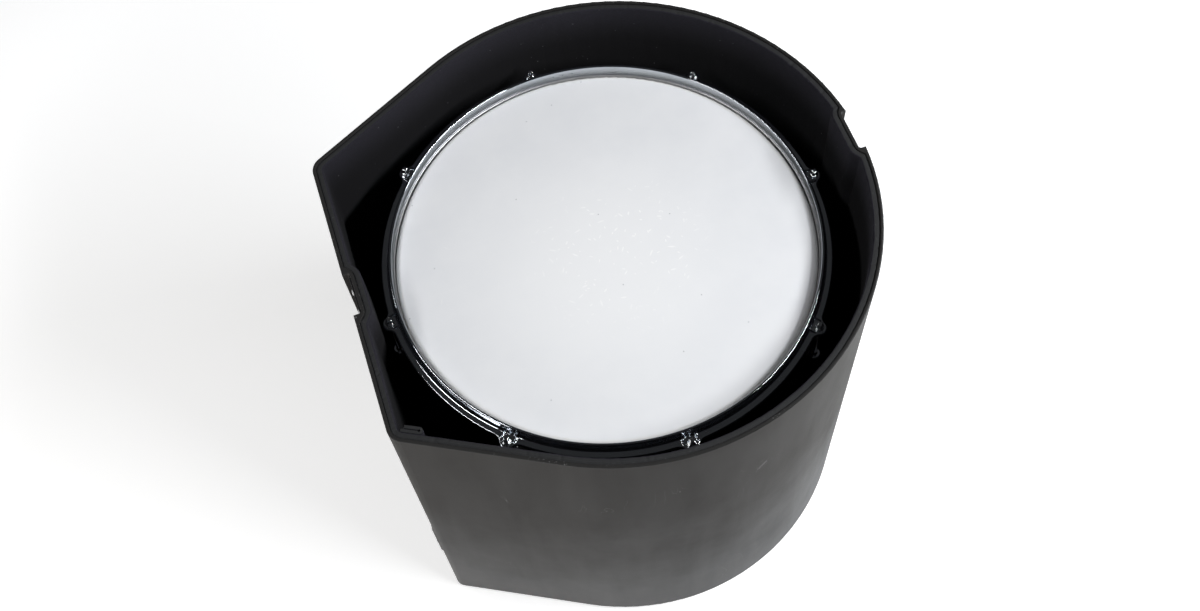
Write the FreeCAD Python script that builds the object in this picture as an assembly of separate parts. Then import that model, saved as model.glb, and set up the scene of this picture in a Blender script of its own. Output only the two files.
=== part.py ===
import FreeCAD, Part
import math
import os

# A kettledrum standing in the open base of its D-shaped carrying case.
# Millimetres, +Z up. The origin is on the floor, midway between the skids and the round side.
# The case's flat side faces -X. The shapes below are made about the round side's own axis,
# and ROUND_SIDE_X moves them all to the origin's frame when they are written.

# ---- driving dimensions: case ----
ROUND_SIDE_X = 4.33
CASE_HEIGHT = 563.0
CASE_RADIUS = 311.8
FLAT_DISTANCE = 316.0
FLAT_HALF_LENGTH = 186.0
CORNER_RADIUS = 20.0
CASE_DRAFT = 7.5
CASE_WALL = 4.5
CASE_FLOOR = 10.0
CASE_EDGE_RADIUS = 10.0
RIM_ROUNDING = 1.3
CHANNEL_WIDTH = 54.0
CHANNEL_DEPTH = 9.0
CHANNEL_CORNER = 3.0
CHANNEL_BULGE_CORNER = 16.0
CHANNEL_SKEW_DEG = 1.35
CHANNEL_Y = 9.0
UNDERSIDE_GROOVE = 4.0
GLUE_GAP = 0.2
LINING = 6.5
LINING_DROP = 1.0
FOLD_LAYER = 4.0
FOLD_LENGTH = 27.0
FLOOR_PAD = 12.0
STRAP_WIDTH = 50.0
STRAP_THICKNESS = 2.4
STRAP_CLEARANCE = 0.3
STRAP_BEND = 8.0
STRAP_BELOW_RIM_FLAT = 4.0
STRAP_BELOW_RIM_ROUND = 190.0
STRAP_RIVET_SPACING = 28.0
STRAP_RIVET_FROM_END = 20.0
SKID_HEIGHT = 90.0
SKID_WIDTH = 26.0
SKID_PROUD = 9.0
SKID_BOTTOM = 6.0
SKID_Y = 116.0
SKID_RIVET_FROM_END = 22.0

# ---- driving dimensions: drum ----
DRUM_X = -9.9
DRUM_Y = 1.8
HOOP_TOP = 502.0
ROD_COUNT = 8
FIRST_ROD_DEG = 2.4
ROD_CIRCLE = 272.0
LIP_OUTER = 260.0
LIP_INNER = 256.5
FLANGE_OUTER = 270.4
FLANGE_DROP = 12.6
FLANGE_THICKNESS = 6.0
SKIRT_INNER = 263.0
SKIRT_THICKNESS = 4.0
SKIRT_DROP = 23.0
HOOP_SEAT_DROP = 16.0
FLESH_INNER = 254.7
FLESH_OUTER = 262.3
FLESH_HEIGHT = 7.9
HEAD_DROP = 14.3
FILM = 0.5
BOWL_OUTER = 249.5
BOWL_WALL = 5.0
BOWL_STRAIGHT_TOP = 470.0
BOWL_CENTRE = 428.0
BOWL_DEPTH = 300.0
RING_OUTER = 251.9
RING_BOTTOM = 452.0
VENT_RADIUS = 11.0
CRADLE_OUTER = 272.0
CRADLE_TOP = 230.0
CRADLE_HOLE = 110.0
CRADLE_GAP = 0.6

# ---- driving dimensions: tension hardware ----
ROD_RADIUS = 2.78
ROD_END = 391.0
RUNNING_GAP = 0.06
EAR_RADIUS = 8.6
EAR_FILLET = 12.0
EAR_THICKNESS = 6.0
KEY_WIDTH = 6.35
KEY_HEIGHT = 7.5
COLLAR_RADIUS = 5.4
COLLAR_HEIGHT = 2.4
WASHER_RADIUS = 6.7
WASHER_HEIGHT = 1.3
CASING_RADIUS = 8.0
CASING_TOP = 422.0
CASING_HEIGHT = 46.0
PLATE_OUTER = 257.0
PLATE_INNER = 252.5
PLATE_WIDTH = 24.0
PLATE_CORNER = 11.0
NECK_WIDTH = 9.0
SCREW_SPACING = 30.0
SCREW_RADIUS = 2.5
SCREW_HEAD_RADIUS = 4.4
SCREW_HEAD_HEIGHT = 3.0
SCREW_WASHER_RADIUS = 6.0
SCREW_WASHER_THICKNESS = 1.2
NUT_RADIUS = 5.6
NUT_HEIGHT = 15.0
NUT_BELOW_CASING_TOP = 25.0

# ---- places worked out from them ----
HEAD_TOP = HOOP_TOP - HEAD_DROP
EAR_TOP = HOOP_TOP - 13.0
CASING_MIDDLE = CASING_TOP - CASING_HEIGHT / 2
LINING_FLOOR = CASE_FLOOR + FLOOR_PAD
NUT_BOTTOM = CASING_TOP - NUT_BELOW_CASING_TOP
CASE_LEAN_DEG = math.degrees(math.atan2(CASE_DRAFT, CASE_HEIGHT))

V = FreeCAD.Vector
UP = V(0, 0, 1)


def export(shape, node):
    placed = shape.copy()
    placed.translate(V(ROUND_SIDE_X, 0, 0))
    solids = placed.Solids
    if not placed.isValid() or not solids:
        raise RuntimeError(node + " is not a valid solid")
    placed.exportStep("parts/" + node + ".step")
    box = placed.BoundBox
    print("%-22s %2d solid(s) %10.0f mm3" % (node, len(solids), shape.Volume), end="  ")
    print("z %.1f to %.1f" % (box.ZMin, box.ZMax))


def rod_angles():
    return [FIRST_ROD_DEG + i * 360.0 / ROD_COUNT for i in range(ROD_COUNT)]


def at_drum(shape, turn_deg=0.0):
    """Moves a shape made about the Z axis to the drum's axis, turned about it."""
    placed = shape.copy()
    placed.rotate(V(0, 0, 0), UP, turn_deg)
    placed.translate(V(DRUM_X, DRUM_Y, 0))
    return placed


def at_each_rod(shape):
    return Part.makeCompound([at_drum(shape, angle) for angle in rod_angles()])


def ring(inner, outer, bottom, top, x=0.0):
    """An upright tube at x on the X axis, or a plain disc where inner is 0."""
    body = Part.makeCylinder(outer, top - bottom, V(x, 0, bottom))
    if inner > 0:
        body = body.cut(Part.makeCylinder(inner, top - bottom, V(x, 0, bottom)))
    return body


def revolved(outline):
    """Turns a closed wire in the XZ plane about the Z axis."""
    return Part.Face(outline).revolve(V(0, 0, 0), UP, 360)


def stood_up(outline):
    """Turns a wire from the level plane into the XZ plane, so that its Y becomes height."""
    outline.rotate(V(0, 0, 0), V(1, 0, 0), 90)
    return outline


def rounded_polygon(points, radii, z=0.0):
    """A closed wire in a level plane, with an arc of the given radius at each corner."""
    count = len(points)
    corners = [V(x, y, z) for x, y in points]
    edges = []
    ends = []
    for i in range(count):
        before = (corners[i - 1] - corners[i]).normalize()
        after = (corners[(i + 1) % count] - corners[i]).normalize()
        half = before.getAngle(after) / 2
        reach = radii[i] / math.tan(half)
        inward = (before + after).normalize()
        start = corners[i] + before * reach
        end = corners[i] + after * reach
        middle = corners[i] + inward * (radii[i] / math.sin(half) - radii[i])
        ends.append((start, middle, end))
    for i in range(count):
        start, middle, end = ends[i]
        following = ends[(i + 1) % count][0]
        if radii[i] > 0:
            edges.append(Part.Arc(start, middle, end).toShape())
        if (following - end).Length > 1e-4:
            edges.append(Part.makeLine(end, following))
    return Part.Wire(edges)


# ---------------------------------------------------------------- case

def d_outline(inset, z):
    """The case's plan: a flat side, two rounded corners, two tangent sides and a round side."""
    radius = CASE_RADIUS - inset
    corner = CORNER_RADIUS - min(inset, CORNER_RADIUS - 8.0)
    reach = math.hypot(FLAT_DISTANCE, FLAT_HALF_LENGTH)
    lean = math.atan2(FLAT_HALF_LENGTH, -FLAT_DISTANCE) - math.acos(CASE_RADIUS / reach)
    touch = V(radius * math.cos(lean), radius * math.sin(lean), z)
    flat = -FLAT_DISTANCE + inset
    # the tangent side is the line with this normal, met by the flat side's line
    corner_y = (radius - flat * math.cos(lean)) / math.sin(lean)
    tip = V(flat, corner_y, z)
    along_side = (touch - tip).normalize()
    along_flat = V(0, -1, 0)
    half = along_side.getAngle(along_flat) / 2
    inward = (along_side + along_flat).normalize()
    side_end = tip + along_side * (corner / math.tan(half))
    flat_end = tip + along_flat * (corner / math.tan(half))
    corner_middle = tip + inward * (corner / math.sin(half) - corner)

    def mirror(p):
        return V(p.x, -p.y, p.z)

    return Part.Wire([
        Part.Arc(mirror(touch), V(radius, 0, z), touch).toShape(),
        Part.makeLine(touch, side_end),
        Part.Arc(side_end, corner_middle, flat_end).toShape(),
        Part.makeLine(flat_end, mirror(flat_end)),
        Part.Arc(mirror(flat_end), mirror(corner_middle), mirror(side_end)).toShape(),
        Part.makeLine(mirror(side_end), mirror(touch)),
    ])


def draft_inset(z):
    return CASE_DRAFT * (1 - z / CASE_HEIGHT)


def d_block(inset, bottom, top):
    """A D-shaped block that tapers with the case's draft."""
    lower = d_outline(inset + draft_inset(bottom), bottom)
    upper = d_outline(inset + draft_inset(top), top)
    return Part.makeLoft([lower, upper], True, True)


def skewed(shape):
    turned = shape.copy()
    turned.rotate(V(0, 0, 0), UP, CHANNEL_SKEW_DEG)
    turned.translate(V(0, CHANNEL_Y, 0))
    return turned


def wall_x(side, z):
    """The outer face of the flat (-1) or round (1) side at one height."""
    return side * (wall_distance(side) - draft_inset(z))


def leaning_bar(side, points, radii, bottom, top):
    """An upright bar with that plan, leaning out with the wall's draft, on the strap's line."""
    if side > 0:
        points = points[::-1]
        radii = radii[::-1]
    wire = rounded_polygon(points, radii, bottom)
    lean = side * (draft_inset(bottom) - draft_inset(top))
    return skewed(Part.Face(wire).extrude(V(lean, 0, top - bottom)))


def wall_distance(side):
    """From the round side's axis to the flat (-1) or round (1) side, at the rim."""
    return FLAT_DISTANCE if side < 0 else CASE_RADIUS


def channel_block(side):
    """The bar that leaves the strap channel of one side as it is cut away from the case."""
    floor_x = side * (wall_distance(side) - CHANNEL_DEPTH - draft_inset(0))
    far_x = side * (wall_distance(side) + 60.0)
    half = CHANNEL_WIDTH / 2
    flared = half + 0.6 * CHANNEL_CORNER
    points = [(floor_x, -half), (floor_x, half), (far_x, flared), (far_x, -flared)]
    return leaning_bar(side, points, [CHANNEL_CORNER, CHANNEL_CORNER, 0, 0], 0, CASE_HEIGHT)


def bulge_block(side, extra, bottom, top):
    """The smooth swelling inside the wall that backs a strap channel, grown by extra."""
    depth = CHANNEL_DEPTH + CASE_WALL + extra
    crest = side * (wall_distance(side) - depth - draft_inset(bottom))
    foot = side * (wall_distance(side) + 2.0)
    crest_half = CHANNEL_WIDTH / 2 + 1.0
    foot_half = crest_half + 2.2 * (depth - CASE_WALL) + extra * 0.4 + 6.0
    points = [(crest, -crest_half), (crest, crest_half), (foot, foot_half), (foot, -foot_half)]
    radii = [CHANNEL_BULGE_CORNER, CHANNEL_BULGE_CORNER, 0, 0]
    return leaning_bar(side, points, radii, bottom, top)


def strap_path(offset):
    """Points of the strap's line, offset out of the channels' floors, from one wall to the other."""
    top_flat = CASE_HEIGHT - STRAP_BELOW_RIM_FLAT
    top_round = CASE_HEIGHT - STRAP_BELOW_RIM_ROUND
    flat_low = wall_x(-1, 0) + CHANNEL_DEPTH - offset
    flat_high = wall_x(-1, top_flat) + CHANNEL_DEPTH - offset
    round_low = wall_x(1, 0) - CHANNEL_DEPTH + offset
    round_high = wall_x(1, top_round) - CHANNEL_DEPTH + offset
    underside = UNDERSIDE_GROOVE - offset
    return [(flat_high, top_flat), (flat_low, underside), (round_low, underside), (round_high, top_round)]


def across_case(outline, width):
    """An outline in the strap's own upright plane, made into a bar of that width on its line."""
    bar = Part.Face(stood_up(outline)).extrude(V(0, width, 0))
    bar.translate(V(0, -width / 2, 0))
    return skewed(bar)


def strap_bed():
    """A thin band that is cut away under the strap, to round the groove's turns into the channels."""
    outer = across_case(rounded_polygon(strap_path(1.0), [0, 0, 0, 0]), CHANNEL_WIDTH)
    bends = [0, STRAP_BEND, STRAP_BEND, 0]
    return outer.cut(across_case(rounded_polygon(strap_path(0), bends), CHANNEL_WIDTH))


def rounded_rim(wall, top):
    """Rounds both edges of a wall's level top face."""
    return wall.makeFillet(RIM_ROUNDING, [e for e in wall.Edges if e.BoundBox.ZMin > top - 0.01])


def case_shell():
    outside = d_block(0, 0, CASE_HEIGHT)
    bottom_edges = [e for e in outside.Edges if e.BoundBox.ZMax < 0.01]
    outside = outside.makeFillet(CASE_EDGE_RADIUS, bottom_edges)
    inside = d_block(CASE_WALL, CASE_FLOOR, CASE_HEIGHT + 5)
    for side in (-1, 1):
        outside = outside.cut(channel_block(side))
        inside = inside.cut(bulge_block(side, 0, CASE_FLOOR, CASE_HEIGHT + 5))
    shell = rounded_rim(outside.cut(inside), CASE_HEIGHT)
    span = 2.6 * CASE_RADIUS
    groove = Part.makeBox(span, CHANNEL_WIDTH, UNDERSIDE_GROOVE, V(-span / 2, -CHANNEL_WIDTH / 2, 0))
    return shell.cut(skewed(groove)).cut(strap_bed())


def wall_lining():
    top = CASE_HEIGHT - LINING_DROP
    skin = CASE_WALL + GLUE_GAP
    outer = d_block(skin, LINING_FLOOR, top)
    inner = d_block(skin + LINING, LINING_FLOOR, top)
    for side in (-1, 1):
        outer = outer.cut(bulge_block(side, GLUE_GAP, LINING_FLOOR, top))
        inner = inner.cut(bulge_block(side, GLUE_GAP + LINING, LINING_FLOOR, top))
    return rounded_rim(outer.cut(inner), top)


def floor_pad():
    pad = d_block(CASE_WALL + GLUE_GAP, CASE_FLOOR + 0.05, LINING_FLOOR - 0.05)
    for side in (-1, 1):
        pad = pad.cut(bulge_block(side, GLUE_GAP, CASE_FLOOR, LINING_FLOOR))
    return pad


def lining_fold():
    """The lining's end, folded back on itself in the corner of the flat and near tangent sides."""
    bottom = LINING_FLOOR + 0.5
    top = CASE_HEIGHT - LINING_DROP
    face_inset = CASE_WALL + GLUE_GAP + LINING + 0.5
    near_side = d_outline(face_inset + draft_inset(top), top).Edges[5]
    ends = sorted([vertex.Point for vertex in near_side.Vertexes], key=lambda point: point.x)
    along = (ends[1] - ends[0]).normalize()
    across = V(-along.y, along.x, 0)
    start = ends[0] + along * 0.5
    slit = 0.8
    cut_end = 3.0
    outer_width = 2 * FOLD_LAYER + slit
    straight = FOLD_LENGTH - outer_width / 2

    def at(reach, offset):
        return start + along * reach + across * offset

    middle = outer_width / 2
    inner_bend = outer_width - FOLD_LAYER
    section = Part.Wire([
        Part.makeLine(at(0, 0), at(straight, 0)),
        Part.Arc(at(straight, 0), at(straight + middle, middle), at(straight, outer_width)).toShape(),
        Part.makeLine(at(straight, outer_width), at(cut_end, outer_width)),
        Part.makeLine(at(cut_end, outer_width), at(cut_end, inner_bend)),
        Part.makeLine(at(cut_end, inner_bend), at(straight, inner_bend)),
        Part.Arc(at(straight, inner_bend), at(straight + slit / 2, middle),
                 at(straight, FOLD_LAYER)).toShape(),
        Part.makeLine(at(straight, FOLD_LAYER), at(0, FOLD_LAYER)),
        Part.makeLine(at(0, FOLD_LAYER), at(0, 0)),
    ])
    # going down, both walls of the corner come inward by the draft
    into_case = V(1, 0, 0)
    draft = draft_inset(bottom) - draft_inset(top)
    inward = (across + into_case) * (draft / (1 + across.dot(into_case)))
    return Part.Face(section).extrude(inward + V(0, 0, bottom - top))


def bowl_solid(grow):
    """The kettle's outer form, or a larger or smaller copy of it, as a solid of revolution."""
    radius = BOWL_OUTER + grow
    depth = BOWL_DEPTH + grow
    pole = V(0, 0, BOWL_CENTRE - depth)
    equator = V(radius, 0, BOWL_CENTRE)
    middle = V(0, 0, BOWL_CENTRE)
    curve = Part.Ellipse(pole, equator, middle)
    arc = Part.ArcOfEllipse(curve, 0, math.pi / 2).toShape()
    rim = V(radius, 0, BOWL_STRAIGHT_TOP)
    axis_top = V(0, 0, BOWL_STRAIGHT_TOP)
    outline = Part.Wire([
        arc,
        Part.makeLine(equator, rim),
        Part.makeLine(rim, axis_top),
        Part.makeLine(axis_top, pole),
    ])
    return revolved(outline)


def foam_cradle():
    """A foam ring with a seat in the kettle's own form."""
    block = ring(CRADLE_HOLE, CRADLE_OUTER, LINING_FLOOR, CRADLE_TOP)
    seat = bowl_solid(CRADLE_GAP)
    return at_drum(block.cut(seat))


def case_strap():
    """Webbing in the strap channels, from under the rim of the flat side to the round side."""
    inner = strap_path(STRAP_CLEARANCE)
    outer = strap_path(STRAP_CLEARANCE + STRAP_THICKNESS)
    bend = STRAP_BEND + STRAP_CLEARANCE
    outer_bend = bend + STRAP_THICKNESS
    radii = [0, bend, bend, 0, 0, outer_bend, outer_bend, 0]
    return across_case(rounded_polygon(inner + outer[::-1], radii), STRAP_WIDTH)


def domed_head(radius, height):
    """A rivet or screw head: a low dome on the +Z side of the XY plane."""
    ball = (radius * radius + height * height) / (2 * height)
    dome = Part.makeSphere(ball, V(0, 0, height - ball))
    return dome.common(Part.makeCylinder(radius, height))


def strap_rivets():
    heads = []
    strap_face = CHANNEL_DEPTH - STRAP_CLEARANCE - STRAP_THICKNESS - 0.15
    for side, strap_end in ((-1, STRAP_BELOW_RIM_FLAT), (1, STRAP_BELOW_RIM_ROUND)):
        z = CASE_HEIGHT - strap_end - STRAP_RIVET_FROM_END
        for y in (-STRAP_RIVET_SPACING / 2, STRAP_RIVET_SPACING / 2):
            head = domed_head(5.0, 1.8)
            head.rotate(V(0, 0, 0), V(0, 1, 0), 90 * side)
            head.translate(V(wall_x(side, z) - side * strap_face, y, z))
            heads.append(skewed(head))
    return Part.makeCompound(heads)


def back_skid(y):
    """A raised plastic runner on the flat side, for the case lying on its back."""
    half = SKID_WIDTH / 2
    points = [(-half, 0), (half, 0), (half, SKID_HEIGHT), (-half, SKID_HEIGHT)]
    wire = rounded_polygon(points, [10.0] * 4)
    block = Part.Face(wire).extrude(V(0, 0, SKID_PROUD))
    outer_edges = [e for e in block.Edges if e.BoundBox.ZMin > SKID_PROUD - 0.01]
    block = block.makeFillet(4.0, outer_edges)
    block.rotate(V(0, 0, 0), V(1, 0, 0), 90)
    block.rotate(V(0, 0, 0), UP, -90)
    block.rotate(V(0, 0, 0), V(0, 1, 0), -CASE_LEAN_DEG)
    block.translate(V(wall_x(-1, SKID_BOTTOM) - 0.1, y, SKID_BOTTOM))
    return block


def skid_rivets(y):
    heads = []
    for rise in (SKID_RIVET_FROM_END, SKID_HEIGHT - SKID_RIVET_FROM_END):
        head = domed_head(4.5, 1.6)
        head.rotate(V(0, 0, 0), V(0, 1, 0), -90 - CASE_LEAN_DEG)
        z = SKID_BOTTOM + rise
        head.translate(V(wall_x(-1, z) - SKID_PROUD - 0.3, y, z))
        heads.append(head)
    return heads


# ---------------------------------------------------------------- kettle

def screw_levels():
    return (CASING_MIDDLE - SCREW_SPACING / 2, CASING_MIDDLE + SCREW_SPACING / 2)


def kettle_bowl():
    bowl = bowl_solid(0).cut(bowl_solid(-BOWL_WALL))
    bowl = bowl.cut(ring(0, VENT_RADIUS, 100, 160))
    holes = []
    for level in screw_levels():
        hole = Part.makeCylinder(SCREW_RADIUS + 0.3, 40, V(BOWL_OUTER - 25, 0, level), V(1, 0, 0))
        holes.append(at_each_rod(hole))
    tool = Part.makeCompound(holes)
    return at_drum(bowl).cut(tool)


def bearing_ring():
    """The mouth ring: a rounded crown over the bowl's edge, with a tongue down inside it."""
    crown = HEAD_TOP - FILM - 0.05
    tongue_outer = BOWL_OUTER - BOWL_WALL - 0.1
    tongue_inner = tongue_outer - 4.0
    seat = BOWL_STRAIGHT_TOP + 0.1
    profile = rounded_polygon(
        [
            (tongue_inner, RING_BOTTOM),
            (tongue_outer, RING_BOTTOM),
            (tongue_outer, seat),
            (RING_OUTER, seat),
            (RING_OUTER, crown),
            (RING_OUTER - 6.5, crown),
            (tongue_inner, crown - 5.0),
        ],
        [1.0, 1.0, 0, 1.0, 3.6, 2.0, 2.0],
    )
    return at_drum(revolved(stood_up(profile)))


def vent_grommet():
    """A flanged bush that lines the air hole in the bottom of the bowl."""
    low = BOWL_CENTRE - BOWL_DEPTH
    sleeve = ring(VENT_RADIUS - 3.0, VENT_RADIUS - 0.1, low - 2.0, low + BOWL_WALL + 2.0)
    outer_flange = ring(VENT_RADIUS - 3.0, VENT_RADIUS + 6.0, low - 3.0, low - 0.1)
    inside = low + BOWL_WALL + 0.8
    inner_flange = ring(VENT_RADIUS - 3.0, VENT_RADIUS + 5.0, inside, inside + 2.0)
    grommet = sleeve.fuse(outer_flange).fuse(inner_flange).removeSplitter()
    return at_drum(grommet)


def lug_plate_face(x):
    half = PLATE_WIDTH / 2
    tall = CASING_HEIGHT / 2 + 5.0
    points = [(-half, -tall), (half, -tall), (half, tall), (-half, tall)]
    wire = stood_up(rounded_polygon(points, [PLATE_CORNER] * 4))
    wire.rotate(V(0, 0, 0), UP, 90)
    wire.translate(V(x, 0, CASING_MIDDLE))
    return Part.Face(wire)


def lug_casing():
    """A round casing that stands off the kettle on a neck and a rounded plate."""
    bottom = CASING_TOP - CASING_HEIGHT
    barrel = Part.makeCylinder(CASING_RADIUS, CASING_HEIGHT, V(ROD_CIRCLE, 0, bottom))
    rims = [e for e in barrel.Edges if isinstance(e.Curve, Part.Circle)]
    barrel = barrel.makeFillet(2.4, rims)
    neck = Part.makeBox(ROD_CIRCLE - PLATE_INNER - 1.0, NECK_WIDTH, CASING_HEIGHT - 12.0,
                        V(PLATE_INNER + 1.0, -NECK_WIDTH / 2, bottom + 6.0))
    plate = lug_plate_face(PLATE_INNER).extrude(V(PLATE_OUTER - PLATE_INNER, 0, 0))
    front = [e for e in plate.Edges if e.BoundBox.XMin > PLATE_OUTER - 0.01]
    plate = plate.makeFillet(2.0, front)
    casing = barrel.fuse(neck).fuse(plate).removeSplitter()
    pocket = Part.makeCylinder(NUT_RADIUS + 0.3, CASING_TOP - 7.0 - bottom, V(ROD_CIRCLE, 0, bottom))
    mouth = Part.makeCylinder(ROD_RADIUS + 0.8, 10.0, V(ROD_CIRCLE, 0, CASING_TOP - 8.0))
    casing = casing.cut(pocket).cut(mouth)
    for level in screw_levels():
        hole = Part.makeCylinder(SCREW_RADIUS + 0.02, 9.0, V(PLATE_INNER - 1.0, 0, level), V(1, 0, 0))
        casing = casing.cut(hole)
    return casing


def lug_gasket():
    pad = lug_plate_face(PLATE_INNER - 0.05).extrude(V(-8.0, 0, 0))
    pad = pad.cut(bowl_solid(0.05))
    for level in screw_levels():
        hole = Part.makeCylinder(SCREW_RADIUS + 0.3, 20, V(BOWL_OUTER - 8, 0, level), V(1, 0, 0))
        pad = pad.cut(hole)
    return pad


def inner_wall_x(level):
    """The radius of the bowl's inner face at one height."""
    below = max(0.0, BOWL_CENTRE - level)
    return (BOWL_OUTER - BOWL_WALL) * math.sqrt(1 - (below / (BOWL_DEPTH - BOWL_WALL)) ** 2)


def lug_screw(level):
    """A screw from inside the bowl into the casing's plate."""
    seat = inner_wall_x(level) - SCREW_WASHER_THICKNESS - 1.1
    head = domed_head(SCREW_HEAD_RADIUS, SCREW_HEAD_HEIGHT)
    head.rotate(V(0, 0, 0), V(0, 1, 0), -90)
    head.translate(V(seat, 0, level))
    shank = Part.makeCylinder(SCREW_RADIUS, PLATE_INNER + 6.5 - seat, V(seat, 0, level), V(1, 0, 0))
    slot_width = 1.2
    slot = Part.makeBox(slot_width, 12.0, slot_width,
                        V(seat - SCREW_HEAD_HEIGHT - 0.2, -6.0, level - slot_width / 2))
    return head.fuse(shank).cut(slot)


def lug_screw_washer(level):
    thick = SCREW_WASHER_THICKNESS
    face = V(inner_wall_x(level) - thick - 1.0, 0, level)
    disc = Part.makeCylinder(SCREW_WASHER_RADIUS, thick, face, V(1, 0, 0))
    return disc.cut(Part.makeCylinder(SCREW_RADIUS + 0.1, thick, face, V(1, 0, 0)))


def swivel_nut():
    """A threaded barrel, drawn up against the shoulder in its casing by the rod."""
    nut = Part.makeCylinder(NUT_RADIUS, NUT_HEIGHT, V(ROD_CIRCLE, 0, NUT_BOTTOM))
    shoulder = Part.makeCylinder(NUT_RADIUS - 1.0, 2.8, V(ROD_CIRCLE, 0, NUT_BOTTOM + NUT_HEIGHT))
    bore = Part.makeCylinder(ROD_RADIUS + RUNNING_GAP, NUT_HEIGHT + 4, V(ROD_CIRCLE, 0, NUT_BOTTOM - 0.5))
    return nut.fuse(shoulder).removeSplitter().cut(bore)


def nut_retainer():
    """A nylon sleeve pushed into the casing under the nut."""
    bottom = CASING_TOP - CASING_HEIGHT + 2.0
    return ring(ROD_RADIUS + 0.7, NUT_RADIUS + 0.25, bottom, NUT_BOTTOM - 0.1, ROD_CIRCLE)


# ---------------------------------------------------------------- head and hoop

def head_film():
    """The drum head: a flat film that turns down round the bearing edge into its flesh hoop."""
    flat_end = RING_OUTER - 3.3
    turned = RING_OUTER + 0.7
    tucked = FLESH_INNER - 0.1

    def at(radius, drop):
        return V(radius, 0, HEAD_TOP - drop)

    profile = Part.Wire([
        Part.makeLine(at(0, 0), at(flat_end, 0)),
        Part.Arc(at(flat_end, 0), at(turned - 1.3, 1.1), at(turned, 3.6)).toShape(),
        Part.makeLine(at(turned, 3.6), at(tucked, 8.0)),
        Part.makeLine(at(tucked, 8.0), at(tucked - FILM, 8.0)),
        Part.makeLine(at(tucked - FILM, 8.0), at(turned - FILM, 3.6)),
        Part.Arc(at(turned - FILM, 3.6), at(turned - 1.7, 1.5), at(flat_end, FILM)).toShape(),
        Part.makeLine(at(flat_end, FILM), at(0, FILM)),
        Part.makeLine(at(0, FILM), at(0, 0)),
    ])
    return at_drum(revolved(profile))


def flesh_hoop():
    """The aluminium ring that grips the film's edge and takes the counterhoop's push."""
    top = HOOP_TOP - HOOP_SEAT_DROP - 0.1
    bottom = top - FLESH_HEIGHT
    corners = [(FLESH_INNER, bottom), (FLESH_OUTER, bottom), (FLESH_OUTER, top), (FLESH_INNER, top)]
    profile = rounded_polygon(corners, [1.5] * 4)
    return at_drum(revolved(stood_up(profile)))


def ear_plan():
    """An ear in plan: a round end that runs into the flange through two hollow arcs."""
    reach_flange = FLANGE_OUTER + EAR_FILLET
    reach_ear = EAR_RADIUS + EAR_FILLET
    along = (ROD_CIRCLE ** 2 + reach_flange ** 2 - reach_ear ** 2) / (2 * ROD_CIRCLE)
    across = math.sqrt(reach_flange ** 2 - along ** 2)
    hollow = V(along, across, 0)
    on_flange = hollow * (FLANGE_OUTER / reach_flange)
    to_ear = (V(ROD_CIRCLE, 0, 0) - hollow).normalize()
    on_ear = hollow + to_ear * EAR_FILLET
    middle_way = ((on_flange - hollow).normalize() + to_ear).normalize()
    hollow_middle = hollow + middle_way * EAR_FILLET
    root_x = LIP_OUTER - 1.0
    root = V(root_x, on_flange.y, 0)

    def mirror(p):
        return V(p.x, -p.y, p.z)

    tip = V(ROD_CIRCLE + EAR_RADIUS, 0, 0)
    return Part.Face(Part.Wire([
        Part.Arc(mirror(on_ear), tip, on_ear).toShape(),
        Part.Arc(on_ear, hollow_middle, on_flange).toShape(),
        Part.makeLine(on_flange, root),
        Part.makeLine(root, mirror(root)),
        Part.makeLine(mirror(root), mirror(on_flange)),
        Part.Arc(mirror(on_flange), mirror(hollow_middle), mirror(on_ear)).toShape(),
    ]))


def hoop_profile():
    """The cast hoop's section: an upright lip, a level flange and a skirt over the flesh hoop."""
    seat = HOOP_TOP - HOOP_SEAT_DROP
    skirt_end = HOOP_TOP - SKIRT_DROP
    skirt_outer = SKIRT_INNER + SKIRT_THICKNESS
    flange_top = HOOP_TOP - FLANGE_DROP
    flange_bottom = flange_top - FLANGE_THICKNESS
    wire = rounded_polygon(
        [
            (LIP_INNER, seat),
            (SKIRT_INNER, seat),
            (SKIRT_INNER, skirt_end),
            (skirt_outer, skirt_end),
            (skirt_outer, flange_bottom),
            (FLANGE_OUTER, flange_bottom),
            (FLANGE_OUTER, flange_top),
            (LIP_OUTER + 1.6, flange_top + 0.4),
            (LIP_OUTER, HOOP_TOP),
            (LIP_INNER, HOOP_TOP),
        ],
        [0.6, 0.8, 1.0, 1.0, 2.0, 1.6, 1.6, 3.6, 1.6, 1.6],
    )
    return stood_up(wire)


def ear_rib(side):
    """A thin rib from the hoop's wall down to the ear, beside the pocket of the key head."""
    thick = 1.8
    y = side * 8.4 - thick / 2
    points = [(LIP_OUTER - 1.0, -6.0), (LIP_OUTER - 1.0, -14.0), (ROD_CIRCLE + 1.0, -14.0)]
    corners = [V(x, y, HOOP_TOP + z) for x, z in points]
    face = Part.Face(Part.makePolygon(corners + corners[:1]))
    return face.extrude(V(0, thick, 0))


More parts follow.
